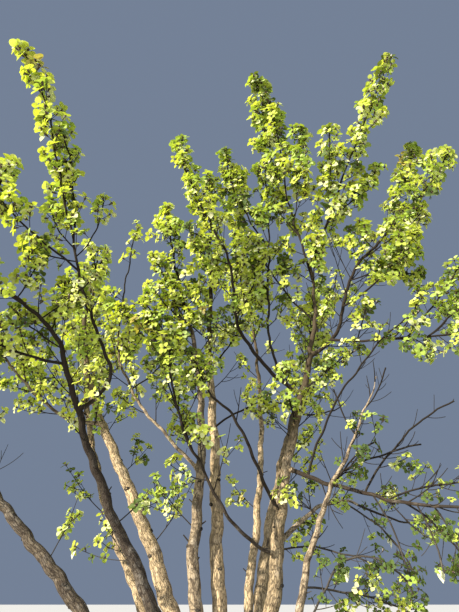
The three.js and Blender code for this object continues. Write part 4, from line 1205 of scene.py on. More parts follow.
# Finishes
@functools.cache
def bark_group():
    """Plates, furrows, lichen and rings from a grain position."""
    tree = bpy.data.node_groups.new("Bark surface", "ShaderNodeTree")
    new_socket(tree, "Grain", "Vector")
    for name in ("Plate", "Furrow", "Bloom", "Young"):
        new_socket(tree, name, "Color")
    for name in ("Plate Width", "Plate Length", "Furrowing", "Blooming", "Rings", "Patches",
                 "Old Below", "Young Above"):
        new_socket(tree, name, "Float")
    for name, kind in (("Color", "Color"), ("Height", "Float"), ("Roughness", "Float")):
        new_socket(tree, name, kind, into=False)
    given = tree.nodes.new("NodeGroupInput").outputs
    end = tree.nodes.new("NodeGroupOutput")
    times, plus, minus, most = math_nodes(tree, "MULTIPLY", "ADD", "SUBTRACT", "MAXIMUM")
    stretched = stretched_grain(tree, given["Grain"], given["Plate Width"], given["Plate Length"])

    def noise(vector, name):
        size, detail, rough, twist = (*BARK_NOISES[name], 0.0)[:4]
        node = add_node(tree, "ShaderNodeTexNoise", inputs={
            "Scale": size, "Detail": detail, "Roughness": rough, "Distortion": twist})
        wire(tree, (vector, node.inputs["Vector"]))
        return node.outputs["Fac"]

    def band(value, name):
        low, high = BARK_MASKS[name]
        node = add_node(tree, "ShaderNodeMapRange", interpolation_type="SMOOTHSTEP",
                        inputs={"From Min": low, "From Max": high})
        wire(tree, (value, node.inputs["Value"]))
        return node.outputs["Result"]

    def blend(factor, first, second):
        node = add_node(tree, "ShaderNodeMix", data_type="RGBA")
        wire(tree, (factor, node.inputs["Factor"]), (first, node.inputs[6]),
             (second, node.inputs[7]))
        return node.outputs[2]

    cells = add_node(tree, "ShaderNodeTexVoronoi", feature="DISTANCE_TO_EDGE",
                     inputs={"Scale": 1.0, "Randomness": 0.9})
    wire(tree, (stretched, cells.inputs["Vector"]))
    edge = band(cells.outputs["Distance"], "edge")
    ragged = noise(stretched, "ragged")
    cracks = times(times(edge, band(ragged, "crack")), given["Furrowing"])
    bloom = times(band(noise(given["Grain"], "bloom"), "bloom"), given["Blooming"])

    # Rings: the level scars of old bud scales and branches
    flat = add_node(tree, "ShaderNodeMapping", inputs={"Scale": (5.0, 5.0, 30.0)})
    wire(tree, (given["Grain"], flat.inputs["Vector"]))
    rings = times(band(noise(flat.outputs[0], "rings"), "rings"), given["Rings"])
    shade = blend(band(ragged, "shade"), given["Plate"], given["Bloom"])
    toned = add_node(tree, "ShaderNodeMix", data_type="RGBA", inputs={"Factor": 0.45})
    wire(tree, (given["Plate"], toned.inputs[6]), (shade, toned.inputs[7]))
    with_bloom = blend(bloom, toned.outputs[2], given["Bloom"])
    with_cracks = blend(cracks, with_bloom, given["Furrow"])
    with_rings = blend(rings, with_cracks, given["Furrow"])

    # Higher up the wood is younger and darker, which partly paints the crown's shade, and dark
    # patches run along the grain, the broad ones partly painted dappled shadow
    height = add_node(tree, "ShaderNodeSeparateXYZ")
    place = add_node(tree, "ShaderNodeTexCoord")
    wire(tree, (place.outputs["Object"], height.inputs[0]))
    wavy = plus(height.outputs["Z"], noise(place.outputs["Object"], "age"))
    young = add_node(tree, "ShaderNodeMapRange", interpolation_type="SMOOTHSTEP")
    wire(tree, (wavy, young.inputs["Value"]), (given["Old Below"], young.inputs["From Min"]),
         (given["Young Above"], young.inputs["From Max"]))
    aged_and_shaded = blend(young.outputs["Result"], with_rings, given["Young"])
    drawn = add_node(tree, "ShaderNodeMapping", inputs={"Scale": (1.0, 1.0, 0.4)})
    wire(tree, (given["Grain"], drawn.inputs["Vector"]))
    # Fine patches are flakes along the grain; the broad ones are partly painted dappled shadow
    fine = band(noise(drawn.outputs[0], "fine"), "fine")
    broad = times(band(noise(given["Grain"], "broad"), "broad"), BARK_PATTERN["broad"])
    patch = times(most(fine, broad), given["Patches"])
    coloured = blend(patch, aged_and_shaded, given["Furrow"])
    bumps = minus(minus(times(ragged, BARK_PATTERN["ragged_bump"]), cracks),
                  times(rings, BARK_PATTERN["ring_bump"]))
    rough = minus(BARK_PATTERN["roughness"], times(bloom, BARK_PATTERN["bloom_gloss"]))
    wire(tree, (coloured, end.inputs["Color"]), (bumps, end.inputs["Height"]),
         (rough, end.inputs["Roughness"]))
    return tree


def new_material(name):
    material = bpy.data.materials.new(name)
    material.use_nodes = True
    return material, material.node_tree, material.node_tree.nodes["Principled BSDF"]


def mixed(first, second, share):
    """A colour that is the given share of the way from the first to the second."""
    return tuple(a + (b - a) * share for a, b in zip(first, second))


def bark_material(row):
    """A bark whose furrows are a darker plate colour and whose bloom is a paler, greyer one."""
    material, tree, shader = new_material(row["name"] + "_finish")
    plate = mixed(getattr(bpy.context.scene.bark_settings, row["color"]), BLACK, row["black"])
    group = add_node(tree, "ShaderNodeGroup", node_tree=bark_group(), inputs={
        "Plate": (*plate, 1), "Furrow": (*mixed(plate, FURROW_AND_DAPPLE_COLOR, row["furrow"]), 1),
        "Bloom": (*mixed(plate, *BLOOM), 1), "Young": (*mixed(plate, *YOUNG_AND_SHADED_WOOD), 1),
        "Plate Width": row["width"], "Plate Length": row["length"],
        "Furrowing": row["furrowing"], "Blooming": row["blooming"], "Rings": row["rings"],
        "Patches": row["patches"], "Old Below": row["young"][0], "Young Above": row["young"][1]})
    grain = add_node(tree, "ShaderNodeAttribute", attribute_name="grain")
    raised = add_node(tree, "ShaderNodeBump", inputs={"Strength": 1.0, "Distance": row["bump"]})
    wire(tree, (grain.outputs["Vector"], group.inputs["Grain"]),
         (group.outputs["Color"], shader.inputs["Base Color"]),
         (group.outputs["Roughness"], shader.inputs["Roughness"]),
         (group.outputs["Height"], raised.inputs["Height"]),
         (raised.outputs["Normal"], shader.inputs["Normal"]))
    shader.inputs["Specular IOR Level"].default_value = 0.2
    return material


@functools.cache
def barks():
    """The material of each bark finish by its name."""
    return {row["name"]: bark_material(row) for row in BARK_FINISHES}


def leaf_material(name, color, glow, down=0.0):
    """A thin leaf: paler along its midrib, with raised veins, that lets some light through."""
    material, tree, shader = new_material(name)
    blade = add_node(tree, "ShaderNodeAttribute", attribute_name="blade")
    parts = add_node(tree, "ShaderNodeSeparateXYZ")
    times, plus, minus = math_nodes(tree, "MULTIPLY", "ADD", "SUBTRACT")
    side = math_node(tree, "ABSOLUTE", parts.outputs["X"], 0.0)
    ribs = add_node(tree, "ShaderNodeMath", operation="SINE")
    slope = minus(parts.outputs["Y"], times(side, VEINS["slope"]))
    midrib = add_node(tree, "ShaderNodeMapRange", interpolation_type="SMOOTHSTEP",
                      inputs={"From Min": MIDRIB["width"], "From Max": 0.0})
    mottle = add_node(tree, "ShaderNodeTexNoise", inputs={"Scale": 60.0, "Detail": 2.0})
    coordinates = add_node(tree, "ShaderNodeTexCoord")
    paint = add_node(tree, "ShaderNodeMix", data_type="RGBA", inputs={
        6: (*color, 1), 7: (*mixed(color, MIDRIB["color"], MIDRIB["share"]), 1)})
    # The pale down, partly real and partly a painted highlight that is strongest on the brighter tints
    down_and_highlight = add_node(tree, "ShaderNodeMix", data_type="RGBA", inputs={
        7: (*mixed(color, DOWN_AND_HIGHLIGHT["color"], down), 1)})
    share = plus(times(mottle.outputs["Fac"], MOTTLE_PAINT),
                 times(midrib.outputs["Result"], MIDRIB["paint"]))
    relief = plus(ribs.outputs[0], times(midrib.outputs["Result"], MIDRIB["rise"]))
    raised = add_node(tree, "ShaderNodeBump", inputs={"Strength": 0.5, "Distance": 0.001})
    through = add_node(tree, "ShaderNodeBsdfTranslucent",
                       inputs={"Color": (*mixed(color, *LIT_THROUGH), 1)})
    both = add_node(tree, "ShaderNodeMixShader", inputs={"Fac": glow})
    surface = tree.nodes["Material Output"].inputs["Surface"]
    wire(tree, (blade.outputs["Vector"], parts.inputs[0]),
         (times(slope, VEINS["spacing"]), ribs.inputs[0]),
         (side, midrib.inputs["Value"]), (coordinates.outputs["Object"], mottle.inputs["Vector"]),
         (share, paint.inputs["Factor"]), (paint.outputs[2], down_and_highlight.inputs[6]),
         (parts.outputs["Z"], down_and_highlight.inputs["Factor"]),
         (down_and_highlight.outputs[2], shader.inputs["Base Color"]),
         (relief, raised.inputs["Height"]), (raised.outputs["Normal"], shader.inputs["Normal"]),
         (shader.outputs[0], both.inputs[1]), (through.outputs[0], both.inputs[2]),
         (both.outputs[0], surface))
    shader.inputs["Roughness"].default_value = 0.5
    shader.inputs["Specular IOR Level"].default_value = 0.18
    return material


def scale_material(name, color):
    """Bud scales: dark and slightly waxy, with paler streaks."""
    material, tree, shader = new_material(name)
    coordinates = add_node(tree, "ShaderNodeTexCoord")
    streaks = add_node(tree, "ShaderNodeTexNoise", inputs={"Scale": 350.0, "Detail": 3.0})
    paint = add_node(tree, "ShaderNodeMix", data_type="RGBA",
                     inputs={6: (*color, 1), 7: (*mixed(color, *SCALE_STREAKS), 1)})
    wire(tree, (coordinates.outputs["Object"], streaks.inputs["Vector"]),
         (streaks.outputs["Fac"], paint.inputs["Factor"]),
         (paint.outputs[2], shader.inputs["Base Color"]))
    shader.inputs["Roughness"].default_value = 0.45
    return material


# Rosettes
# A leaf's outline and midrib: places across, as shares of its width, and along, of its length
BLADE = np.array([
    (0.0, 0.02), (0.0, 0.36), (0.0, 0.72), (0.0, 1.05),
    (-0.22, -0.08), (-0.46, 0.08), (-0.55, 0.38), (-0.46, 0.70), (-0.24, 0.94),
    (0.22, -0.08), (0.46, 0.08), (0.55, 0.38), (0.46, 0.70), (0.24, 0.94),
])
BLADE_FACES = (
    (0, 5, 4), (0, 1, 5), (1, 6, 5), (1, 7, 6), (1, 2, 7), (2, 8, 7), (2, 3, 8),
    (0, 9, 10), (0, 10, 1), (1, 10, 11), (1, 11, 12), (1, 12, 2), (2, 12, 13), (2, 13, 3),
)


def blade(base, way, up, length, width, fold, curl):
    """The blade's points: folded up along the midrib and curled down to the tip."""
    across = unit(np.cross(way, up))
    above = np.cross(across, way)
    side, along = BLADE[:, 0] * width, BLADE[:, 1]
    lift = fold * np.abs(side) - curl * along ** 2
    return base + length * (np.outer(side, across) + np.outer(along, way) + np.outer(lift, above))


def rosette(name, leaves, draw, length, width, stalk):
    """Leaves round one spur's end, the inner ones smaller and more upright."""
    points, faces, marks = [], [], []
    axis = np.array([0.0, 0.0, 1.0])
    for i in range(leaves):
        age = 1 - i / leaves
        around = math.radians(i * GOLDEN_ANGLE + scattered(draw, ROSETTE["turn_scatter"]))
        tilt = math.radians(ROSETTE["tilt"] + ROSETTE["age_tilt"] * age
                            + scattered(draw, ROSETTE["tilt_scatter"]))
        bend = tilt + math.radians(ranged(draw, *ROSETTE["bend"]))
        level = np.array([math.cos(around), math.sin(around), 0])
        way = leaning(axis, level, bend)
        up = turned(axis * math.sin(bend) - level * math.cos(bend), way,
                    math.radians(scattered(draw, ROSETTE["twist_scatter"])))
        size = length * (ROSETTE["young_size"] + ROSETTE["age_size"] * age)
        size *= ranged(draw, *ROSETTE["size"])
        base = leaning(axis, level, tilt) * stalk * ranged(draw, *ROSETTE["stalk"])
        first = len(points)
        points += list(blade(base, way, up, size, width, ranged(draw, *ROSETTE["fold"]),
                             ranged(draw, *ROSETTE["curl"])))
        faces += [tuple(first + k for k in face) for face in BLADE_FACES]
        down = 1.0 if next(draw) < DOWN_AND_HIGHLIGHT["share"] else DOWN_AND_HIGHLIGHT["on_others"]
        marks += [(x, y, down) for x, y in BLADE]
        across = unit(np.cross(way, up)) * ROSETTE["stalk_radius"]
        points += [across, -across]
        marks += [(0.0, 0.0, 0.0)] * 2
        faces.append((first + len(BLADE), first + len(BLADE) + 1, first))
    made = new_object(name, points, faces=faces, blade=("FLOAT_VECTOR", np.array(marks)))
    made.data.shade_smooth()
    return made


def bud(name, length):
    """The scales that stand round the spur's end, below the leaves."""
    sides, width = BUD["sides"], length * BUD["width"]
    points = [(width * r * math.cos(math.tau * (k + i / 2) / sides),
               width * r * math.sin(math.tau * (k + i / 2) / sides), length * z)
              for i, (z, r) in enumerate(BUD["rings"]) for k in range(sides)]
    points += [(0, 0, length * BUD["tip"]), (0, 0, length * BUD["foot"])]
    top, foot = 2 * sides, 2 * sides + 1
    faces = []
    for k in range(sides):
        after = (k + 1) % sides
        faces += [(k, after, sides + k), (after, sides + after, sides + k),
                  (sides + k, sides + after, top), (after, k, foot)]
    return new_object(name, points, faces=faces)


def bract_pair(name, length, draw):
    """The two unequal bracts of one flower head. +Z is the way they hang."""
    points, faces = [], []
    rows, columns, foot = BRACT["rows"], BRACT["columns"], BRACT["foot"]
    down_waves, cross_waves = BRACT["waves"]
    for share, side in zip(BRACT["sizes"], (1, -1)):
        way = unit(np.array([BRACT["spread"] * side, BRACT["forward"], 1.0]))
        up = unit(np.array([1.0 * side, scattered(draw, BRACT["turn_scatter"]), 0]))
        across = unit(np.cross(way, up))
        first = len(points)
        for r in range(rows):
            along = r / (rows - 1)
            belly = BRACT["belly"] * math.sin(math.pi * along)
            opened = min(along ** BRACT["fullness"] * (1 - foot) + foot, 1)
            wide = BRACT["width"] * math.sin(math.pi * opened)
            for c in range(columns):
                over = (c / (columns - 1) - 0.5) * 2
                ripple = BRACT["ripple"] * math.sin(down_waves * along + cross_waves * over)
                lift = belly - BRACT["cup"] * wide * over ** 2 + ripple * wide
                points.append(length * share * (way * along + across * over * wide + up * lift))
        for r in range(rows - 1):
            for c in range(columns - 1):
                a = first + r * columns + c
                faces.append((a, a + 1, a + 1 + columns, a + columns))
    return new_object(name, points, faces=faces)


def basis_turns(ways, draw, spun):
    """The Euler turns that point +Z along each way, where spun with a spin about it each."""
    ways = ways / np.linalg.norm(ways, axis=1)[:, None]
    spin = np.array([next(draw) if spun else 0.0 for _ in ways]) * math.tau
    helper = np.where(np.abs(ways[:, 2:3]) > 0.9, [[1.0, 0, 0]], [[0, 0, 1.0]])
    side = np.cross(helper, ways)
    side /= np.linalg.norm(side, axis=1)[:, None]
    other = np.cross(ways, side)
    across = side * np.cos(spin)[:, None] + other * np.sin(spin)[:, None]
    third = np.cross(ways, across)
    return np.stack([np.arctan2(third[:, 2], ways[:, 2]), -np.arcsin(np.clip(across[:, 2], -1, 1)),
                     np.arctan2(across[:, 1], across[:, 0])], 1)


def place_kinds(name, kinds, places, ways, sizes, material, seed, spun=True):
    """A piece made of one of the kinds at each place, which are removed afterwards."""
    group = bpy.data.collections.new(name + "_kinds")
    for kind in kinds:
        bpy.context.scene.collection.objects.unlink(kind)
        group.objects.link(kind)
    draw = chances(seed)
    picks = np.array([int(next(draw) * len(kinds)) for _ in places], np.int32)
    points = new_object(
        name, places, turn=("FLOAT_VECTOR", basis_turns(ways, draw, spun).astype(np.float32)),
        size=("FLOAT", sizes.astype(np.float32)), kind=("INT", picks))
    piece = apply_tree(points, placing_tree(), Collection=group, Material=material)
    for kind in kinds:
        bpy.data.objects.remove(kind)
    bpy.data.collections.remove(group)
    return piece


def place_on_spurs(name, kinds, rosettes, material, seed):
    """A piece made of one of the kinds at each rosette's place, way and size."""
    places, ways, sizes = (np.array([each[k] for each in rosettes]) for k in range(3))
    return place_kinds(name, kinds, places, ways, sizes, material, seed)


def kinds_of_rosette(settings):
    draw = chances(SEED_FIRST)
    return [rosette(f"rosette_{i}", ROSETTE["least_leaves"] + i % ROSETTE["leaf_counts"], draw,
                    settings.leaf_length, settings.leaf_width, settings.stalk)
            for i in range(ROSETTE["kinds"])]


def finish_of(limb):
    return limb.row.get("finish", limb.row["bark"])


# Operators
def relief_inputs(settings):
    return {"Relief": settings.relief, "Furrow_Width": settings.furrow_width,
            "Furrow_Length": settings.furrow_length}


def sweep_limb(limb, sides, settings, seed, extend=0.0):
    """One limb's bark. extend carries a stem's centreline straight on below the ground."""
    material = barks()[finish_of(limb)]
    distances = limb.distances
    line, radii = limb.line, limb.radius(distances)
    if extend:
        below = np.arange(-extend, 0, RING_SPACING)
        line = np.vstack([line[0] + np.outer(below, limb.way(0)), line])
        radii = np.concatenate([limb.radius(below), radii])
    path = paths(limb.row["name"] + "_bark", [(line, radii)])
    return apply_tree(path, bark_tree(), Sides=sides, Seed=float(seed), Material=material,
                      **relief_inputs(settings))


class TREE_OT_stems(bpy.types.Operator):
    """Grow the ten stems' bark from the flat cut at the ground to the tips"""

    bl_idname = "tree.stems"
    bl_label = "Stems"

    def execute(self, context):
        settings = context.scene.bark_settings
        for number, row in enumerate(STEMS):
            limb = grow_limbs()[row["name"]]
            piece = sweep_limb(limb, settings.stem_sides, settings, number, BELOW_GROUND)
            flat_cut(piece)
            finish_piece(piece, row["bark"], row["name"])
        return {"FINISHED"}


class TREE_OT_boughs(bpy.types.Operator):
    """Grow the boughs' bark out of the limbs that carry them"""

    bl_idname = "tree.boughs"
    bl_label = "Boughs"

    def execute(self, context):
        settings = context.scene.bark_settings
        for number, row in enumerate(BOUGHS):
            limb = grow_limbs()[row["name"]]
            piece = sweep_limb(limb, settings.bough_sides, settings, number + len(STEMS))
            finish_piece(piece, row["bark"], row["name"])
        return {"FINISHED"}


class TREE_OT_forks(bpy.types.Operator):
    """Fuse the bark where each bough leaves its limb"""

    bl_idname = "tree.forks"
    bl_label = "Forks"

    def execute(self, context):
        settings = context.scene.bark_settings
        limbs = grow_limbs()
        for finish in barks():
            tubes = []
            for row in BOUGHS:
                carrier, bough = limbs[row["on"]], limbs[row["name"]]
                if finish_of(carrier) == finish:
                    tubes += fork_tubes(carrier, bough, row["along"])
                    slot = carrier.row["bark"]
            if tubes:
                piece = fuse(finish + "_forks", tubes, FORK["voxel"], FORK["rounds"],
                             barks()[finish], settings)
                finish_piece(piece, slot)
        return {"FINISHED"}


def fork_tubes(carrier, bough, along):
    """A stretch of the carrier and the bough's root, swollen at the fork and sunk at its ends."""
    reach = np.linspace(-1, 1, FORK["carrier_rings"])
    places = along + reach * FORK["carrier"]
    places = places[(places > 0) & (places < carrier.length)]
    ease = np.cos((places - along) / FORK["carrier"] * math.pi / 2) ** 2
    swell = FORK["sink"] + (FORK["swell"] * 0.5 - FORK["sink"]) * ease
    stretch = (np.array([carrier.at(p) for p in places]), carrier.radius(places) + swell)
    out = np.linspace(0, bough.root_radius + FORK["bough"], FORK["bough_rings"])
    ease = np.cos(np.clip((out - bough.root_radius) / FORK["bough"], 0, 1) * math.pi / 2) ** 2
    swell = FORK["sink"] / 2 + (FORK["swell"] - FORK["sink"] / 2) * ease
    root = (np.array([bough.at(p) for p in out]), bough.radius(out) + swell)
    return [stretch, root]


def fuse(name, tubes, voxel, rounds, material, settings, extra=None):
    """One closed bark over tubes that run into each other, with the relief of the limbs."""
    piece = apply_tree(paths(name, tubes), bark_tree(), Sides=FUSED["sides"], Relief=0.0)
    if extra:
        joined = bmesh.new()
        joined.from_mesh(piece.data)
        joined.from_mesh(extra)
        joined.to_mesh(piece.data)
        joined.free()
    remesh = piece.modifiers.new("Join", "REMESH")
    remesh.mode = "VOXEL"
    remesh.voxel_size = voxel
    soften = piece.modifiers.new("Soften", "SMOOTH")
    soften.factor = FUSED["soften"]
    soften.iterations = rounds
    plain = plain_mesh(piece)
    places = np.zeros(len(plain.vertices) * 3, np.float32)
    plain.vertices.foreach_get("co", places)
    set_attribute(plain, "grain", "FLOAT_VECTOR", places)
    set_attribute(plain, "girth", "FLOAT",
                  np.full(len(plain.vertices), FUSED["girth"], np.float32))
    return apply_tree(link_new(name, plain), relief_tree(), Seed=3.0, Material=material,
                      **relief_inputs(settings))


class TREE_OT_knots(bpy.types.Operator):
    """Set the healed scars of lost branches on the stems, and a few dead stubs"""

    bl_idname = "tree.knots"
    bl_label = "Knots and stubs"

    def execute(self, context):
        draw = chances(KNOT_SEED)
        # Knots take the near-black twig bark, partly their own dark scar and partly painted shade in and
        # under it
        material = barks()["bare_twigs"]
        for bark in BARK_SLOTS:
            places, ways, sizes, stubs = [], [], [], []
            for limb in grow_limbs().values():
                if limb.row["bark"] == bark:
                    scatter_knots(limb, draw, places, ways, sizes, stubs)
            kinds = [knot(f"{bark}_knot_{i}", draw) for i in range(KNOTS["kinds"])]
            piece = place_kinds(bark + "_knots", kinds, np.array(places), np.array(ways),
                                np.array(sizes), material, SEED_FIRST, spun=False)
            finish_piece(piece, "bare_twigs")
            piece = apply_tree(
                paths(bark + "_stubs", stubs), bark_tree(), Sides=STUBS["sides"],
                Relief=STUBS["relief"], Furrow_Width=0.02, Furrow_Length=0.03, Seed=1.0,
                Material=material)
            finish_piece(piece, "bare_twigs")
        return {"FINISHED"}


def scatter_knots(limb, draw, places, ways, sizes, stubs):
    """Knots by the golden angle up a limb, every few of which still carries a dead stub."""
    is_stem = limb.root_radius is None
    distance = KNOTS["first"] if is_stem else limb.root_radius + KNOTS["past_fork"]
    turn = 360 * next(draw)
    while distance < limb.length * KNOTS["last"]:
        radius = float(limb.radius(distance))
        along = limb.way(distance)
        out = outward(along, turn)
        places.append(limb.at(distance) + out * radius * KNOTS["sink"])
        ways.append(unit(out + KNOTS["lean"] * along))
        sizes.append(radius * ranged(draw, *KNOTS["size"]))
        if next(draw) < STUBS["share"]:
            reach = radius + STUBS["reach"] * ranged(draw, *STUBS["longer"])
            way = unit(out + STUBS["lean"] * along)
            out = np.linspace(STUBS["start"] * radius, reach, STUBS["rings"])
            stubs.append((limb.at(distance) + np.outer(out, way),
                          np.linspace(STUBS["root"], STUBS["tip"], STUBS["rings"]) * radius))
        turn += GOLDEN_ANGLE + scattered(draw, KNOTS["turn_scatter"])
        distance += KNOTS["every"] * ranged(draw, *KNOTS["step"])


def knot(name, draw):
    """A healed branch scar one unit across: a rolled rim round a sunken middle."""
    rings, sides = KNOT["rings"], KNOT["sides"]
    points, grains = [], []
    for share, high in zip(rings, KNOT["rise"]):
        for k in range(sides if share else 1):
            around = math.tau * k / sides
            out = share * (1 + scattered(draw, KNOT["rim_scatter"]))
            points.append((KNOT["long"] * out * math.cos(around), KNOT["wide"] * out * math.sin(around),
                           high * (1 + scattered(draw, KNOT["rise_scatter"]))))
            grains.append([KNOT["grain"] * value for value in points[-1]])
    faces = [(0, 1 + k, 1 + (k + 1) % sides) for k in range(sides)]
    for ring in range(len(rings) - 2):
        inner, outer = 1 + ring * sides, 1 + (ring + 1) * sides
        for k in range(sides):
            after = (k + 1) % sides
            faces.append((inner + k, outer + k, outer + after, inner + after))
    made = new_object(name, points, faces=faces, grain=("FLOAT_VECTOR", np.array(grains)))
    made.data.shade_smooth()
    return made


class TREE_OT_root_crown(bpy.types.Operator):
    """Shape the low mound and the buttresses that join the stems' feet"""

    bl_idname = "tree.root_crown"
    bl_label = "Root crown"

    def execute(self, context):
        mound = bmesh.new()
        bmesh.ops.create_uvsphere(mound, u_segments=MOUND["around"],
                                  v_segments=MOUND["rings"], radius=1)
        for vertex in mound.verts:
            x, y, z = vertex.co
            vertex.co = (x * MOUND["radius"], y * MOUND["radius"], z * MOUND["height"])
        mesh = bpy.data.meshes.new("mound")
        mound.to_mesh(mesh)
        mound.free()
        roots = []
        for row in STEMS:
            roots += root_tubes(grow_limbs()[row["name"]])
        piece = fuse("root_crown_bark", roots, FOOT["voxel"], FOOT["rounds"],
                     barks()["brown_bark"], context.scene.bark_settings, mesh)
        flat_cut(piece)
        finish_piece(piece, "brown_bark", "root_crown")
        return {"FINISHED"}


def root_tubes(limb):
    """A stem's swollen foot, and the buttress that runs outwards from an outer one."""
    foot = limb.line[0]
    below = np.linspace(-BELOW_GROUND, FOOT["height"], FOOT["rings"])
    swell = FOOT["swell"] * np.linspace(FOOT["bottom"], FOOT["top"], len(below))
    tubes = [(foot + np.outer(below, limb.way(0)), limb.radius(below) + swell)]
    if np.hypot(*foot[:2]) > MOUND["radius"] / 2:
        away = unit(foot * [1, 1, 0])
        share = np.linspace(0, 1, BUTTRESS["rings"])[:, None]
        top = foot + np.array([0, 0, BUTTRESS["start"]])
        end = foot + away * BUTTRESS["reach"] + np.array([0, 0, BUTTRESS["bottom"]])
        sag = BUTTRESS["sag"] * np.sin(math.pi * share) * np.array([0, 0, 1])
        tubes.append((top + (end - top) * share + sag,
                      np.linspace(BUTTRESS["root"], BUTTRESS["end"], len(share))))
    return tubes


class TREE_OT_twigs(bpy.types.Operator):
    """Grow the shoots, twigs and spurs that carry the leaves"""

    bl_idname = "tree.twigs"
    bl_label = "Twigs"

    def execute(self, context):
        twigs = crown_of(context).twigs
        by_size = {
            "shoots": [twig for twig in twigs if len(twig[0]) > TWIG_POINTS],
            "twigs": [twig for twig in twigs if len(twig[0]) == TWIG_POINTS],
            "spurs": [twig for twig in twigs if len(twig[0]) < TWIG_POINTS],
        }
        for name, chosen in by_size.items():
            piece = apply_tree(
                paths(name, chosen), bark_tree(), Sides=TWIG_SIDES[name], Relief=0.0,
                Material=barks()["bare_twigs"])
            finish_piece(piece, "bare_twigs", *(row["name"] for row in MASSES))
        return {"FINISHED"}


class TREE_OT_leaves(bpy.types.Operator):
    """Set a rosette of leaves on each spur, with one tint to each spray"""

    bl_idname = "tree.leaves"
    bl_label = "Leaves"

    def execute(self, context):
        settings = context.scene.foliage_settings
        rosettes = crown_of(context).rosettes
        for number, tint in enumerate(TINTS):
            name = tint["name"]
            chosen = [each for each in rosettes if each[3] == number]
            material = leaf_material(name + "_leaf_finish", tuple(getattr(settings, name)),
                                     tint["glow"], tint["down"])
            piece = place_on_spurs(name + "_leaves", kinds_of_rosette(settings), chosen, material,
                                   SEED_FIRST + number)
            finish_piece(piece, "foliage", *(row["name"] for row in MASSES))
        return {"FINISHED"}


class TREE_OT_buds(bpy.types.Operator):
    """Set dark bud scales in the heart of each rosette"""

    bl_idname = "tree.buds"
    bl_label = "Bud scales"

    def execute(self, context):
        settings = context.scene.foliage_settings
        material = scale_material("bud_scale_finish", tuple(settings.bud))
        piece = place_on_spurs("bud_scales", [bud("bud", settings.bud_length)],
                               crown_of(context).rosettes, material, SEED_FIRST)
        finish_piece(piece, "bare_twigs")
        return {"FINISHED"}


class TREE_OT_bracts(bpy.types.Operator):
    """Hang the few pairs of cream bracts below their spurs"""

    bl_idname = "tree.bracts"
    bl_label = "Bracts"

    def execute(self, context):
        settings = context.scene.foliage_settings
        rosettes = crown_of(context).rosettes
        places = np.array([each[0] for each in rosettes])
        chosen = [nearest_to_pixel(places, pixel) for pixel in BRACT_PIXELS]
        draw = chances(BRACT_SEED)
        chosen += [int(next(draw) * len(places)) for _ in range(BRACTS["spread"])]
        kinds = [bract_pair(f"bracts_{i}", settings.bract_length, draw)
                 for i in range(BRACTS["kinds"])]
        down = np.array([(scattered(draw, BRACTS["sway"]), scattered(draw, BRACTS["sway"]), -1)
                         for _ in chosen])
        # More young bracts where there is more light: pale marks that partly paint highlights
        young = [each for each in rosettes
                 if next(draw) < YOUNG_BRACTS["share"] * light_at(each[0][2])]
        small = [rosette(f"young_{i}", YOUNG_BRACTS["leaves"], draw, YOUNG_BRACTS["length"],
                         YOUNG_BRACTS["width"], settings.stalk * YOUNG_BRACTS["stalk"])
                 for i in range(YOUNG_BRACTS["kinds"])]
        material = leaf_material("young_bract_finish", tuple(settings.young_bract),
                                 YOUNG_BRACTS["glow"])
        finish_piece(place_on_spurs("young_bracts", small, young, material, SEED_FIRST), "foliage")
        sizes = np.array([ranged(draw, *BRACTS["size"]) for _ in chosen])
        material = leaf_material("bract_finish", tuple(settings.bract), BRACTS["glow"])
        piece = place_kinds("bracts", kinds, places[chosen], down, sizes, material, SEED_FIRST)
        finish_piece(piece, "foliage")
        return {"FINISHED"}


def nearest_to_pixel(places, pixel):
    """The rosette that the front view shows nearest to a pixel."""
    across, down = in_front_view(places)
    return int(np.argmin(np.hypot(across - pixel[0], down - pixel[1])))


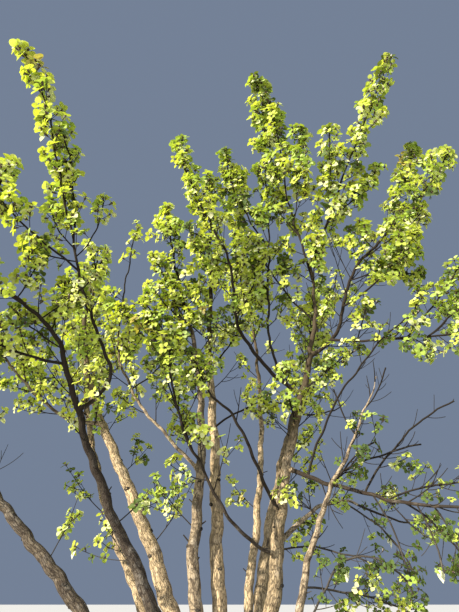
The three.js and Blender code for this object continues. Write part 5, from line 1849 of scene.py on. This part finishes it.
class TREE_OT_stage(bpy.types.Operator):
    """Set the floor, the light and the camera"""

    bl_idname = "tree.stage"
    bl_label = "Stage"

    def execute(self, context):
        settings = context.scene.stage_settings
        corners = [(x * FLOOR["half"], y * FLOOR["half"], FLOOR["height"])
                   for x, y in ((-1, -1), (1, -1), (1, 1), (-1, 1))]
        floor = new_object("floor", corners, faces=[(0, 1, 2, 3)])
        material, tree, shader = new_material("floor_finish")
        grain = add_node(tree, "ShaderNodeTexNoise", inputs={"Scale": 2.0, "Detail": 4.0})
        tone = add_node(tree, "ShaderNodeMapRange", inputs={"To Min": 0.88, "To Max": 0.94})
        wire(tree, (grain.outputs["Fac"], tone.inputs["Value"]),
             (tone.outputs["Result"], shader.inputs["Roughness"]))
        shader.inputs["Base Color"].default_value = (*settings.floor, 1)
        floor.data.materials.append(material)

        world = bpy.data.worlds.new("studio")
        world.use_nodes = True
        backdrop = world.node_tree.nodes["Background"]
        backdrop.inputs["Color"].default_value = (*settings.backdrop, 1)
        backdrop.inputs["Strength"].default_value = settings.backdrop_light
        context.scene.world = world
        context.scene.view_settings.view_transform = "Standard"
        for name, color, turn, softness in SUNS:
            light = bpy.data.lights.new(name, "SUN")
            light.energy = getattr(settings, name)
            light.color = color
            light.angle = math.radians(softness)
            link_new(name, light).rotation_euler = [math.radians(angle) for angle in turn]

        lens = bpy.data.cameras.new("viewer")
        lens.lens = settings.lens
        lens.sensor_width = settings.sensor
        lens.clip_end = CLIP_END
        viewer = link_new("viewer", lens)
        viewer.location = settings.eye
        viewer.rotation_euler = (math.pi / 2 + settings.pitch, 0, 0)
        context.scene.camera = viewer
        return {"FINISHED"}


class TREE_PT_panel(bpy.types.Panel):
    """The tree's settings and its pieces"""

    bl_idname = "TREE_PT_panel"
    bl_label = "Handkerchief Tree"
    bl_space_type = "VIEW_3D"
    bl_region_type = "UI"
    bl_category = "Tree"

    def draw(self, context):
        for group in (context.scene.bark_settings, context.scene.foliage_settings,
                      context.scene.stage_settings):
            box = self.layout.box()
            for name in group.__annotations__:
                box.prop(group, name)
        for operator in OPERATORS:
            self.layout.operator(operator.bl_idname)


SETTINGS = {"bark_settings": BarkSettings, "foliage_settings": FoliageSettings,
            "stage_settings": StageSettings}
OPERATORS = (TREE_OT_root_crown, TREE_OT_stems, TREE_OT_boughs, TREE_OT_forks, TREE_OT_knots,
             TREE_OT_twigs, TREE_OT_leaves, TREE_OT_buds, TREE_OT_bracts, TREE_OT_stage)
CLASSES = (*SETTINGS.values(), *OPERATORS, TREE_PT_panel)


def register():
    for each in CLASSES:
        bpy.utils.register_class(each)
    for name, group in SETTINGS.items():
        setattr(bpy.types.Scene, name, bpy.props.PointerProperty(type=group))


def unregister():
    for name in SETTINGS:
        delattr(bpy.types.Scene, name)
    for each in reversed(CLASSES):
        bpy.utils.unregister_class(each)


def main():
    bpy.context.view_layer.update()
    register()
    bpy.ops.tree.root_crown()
    bpy.ops.tree.stems()
    bpy.ops.tree.boughs()
    bpy.ops.tree.forks()
    bpy.ops.tree.knots()
    bpy.ops.tree.twigs()
    bpy.ops.tree.leaves()
    bpy.ops.tree.buds()
    bpy.ops.tree.bracts()
    bpy.ops.tree.stage()


if __name__ == "__main__":
    main()
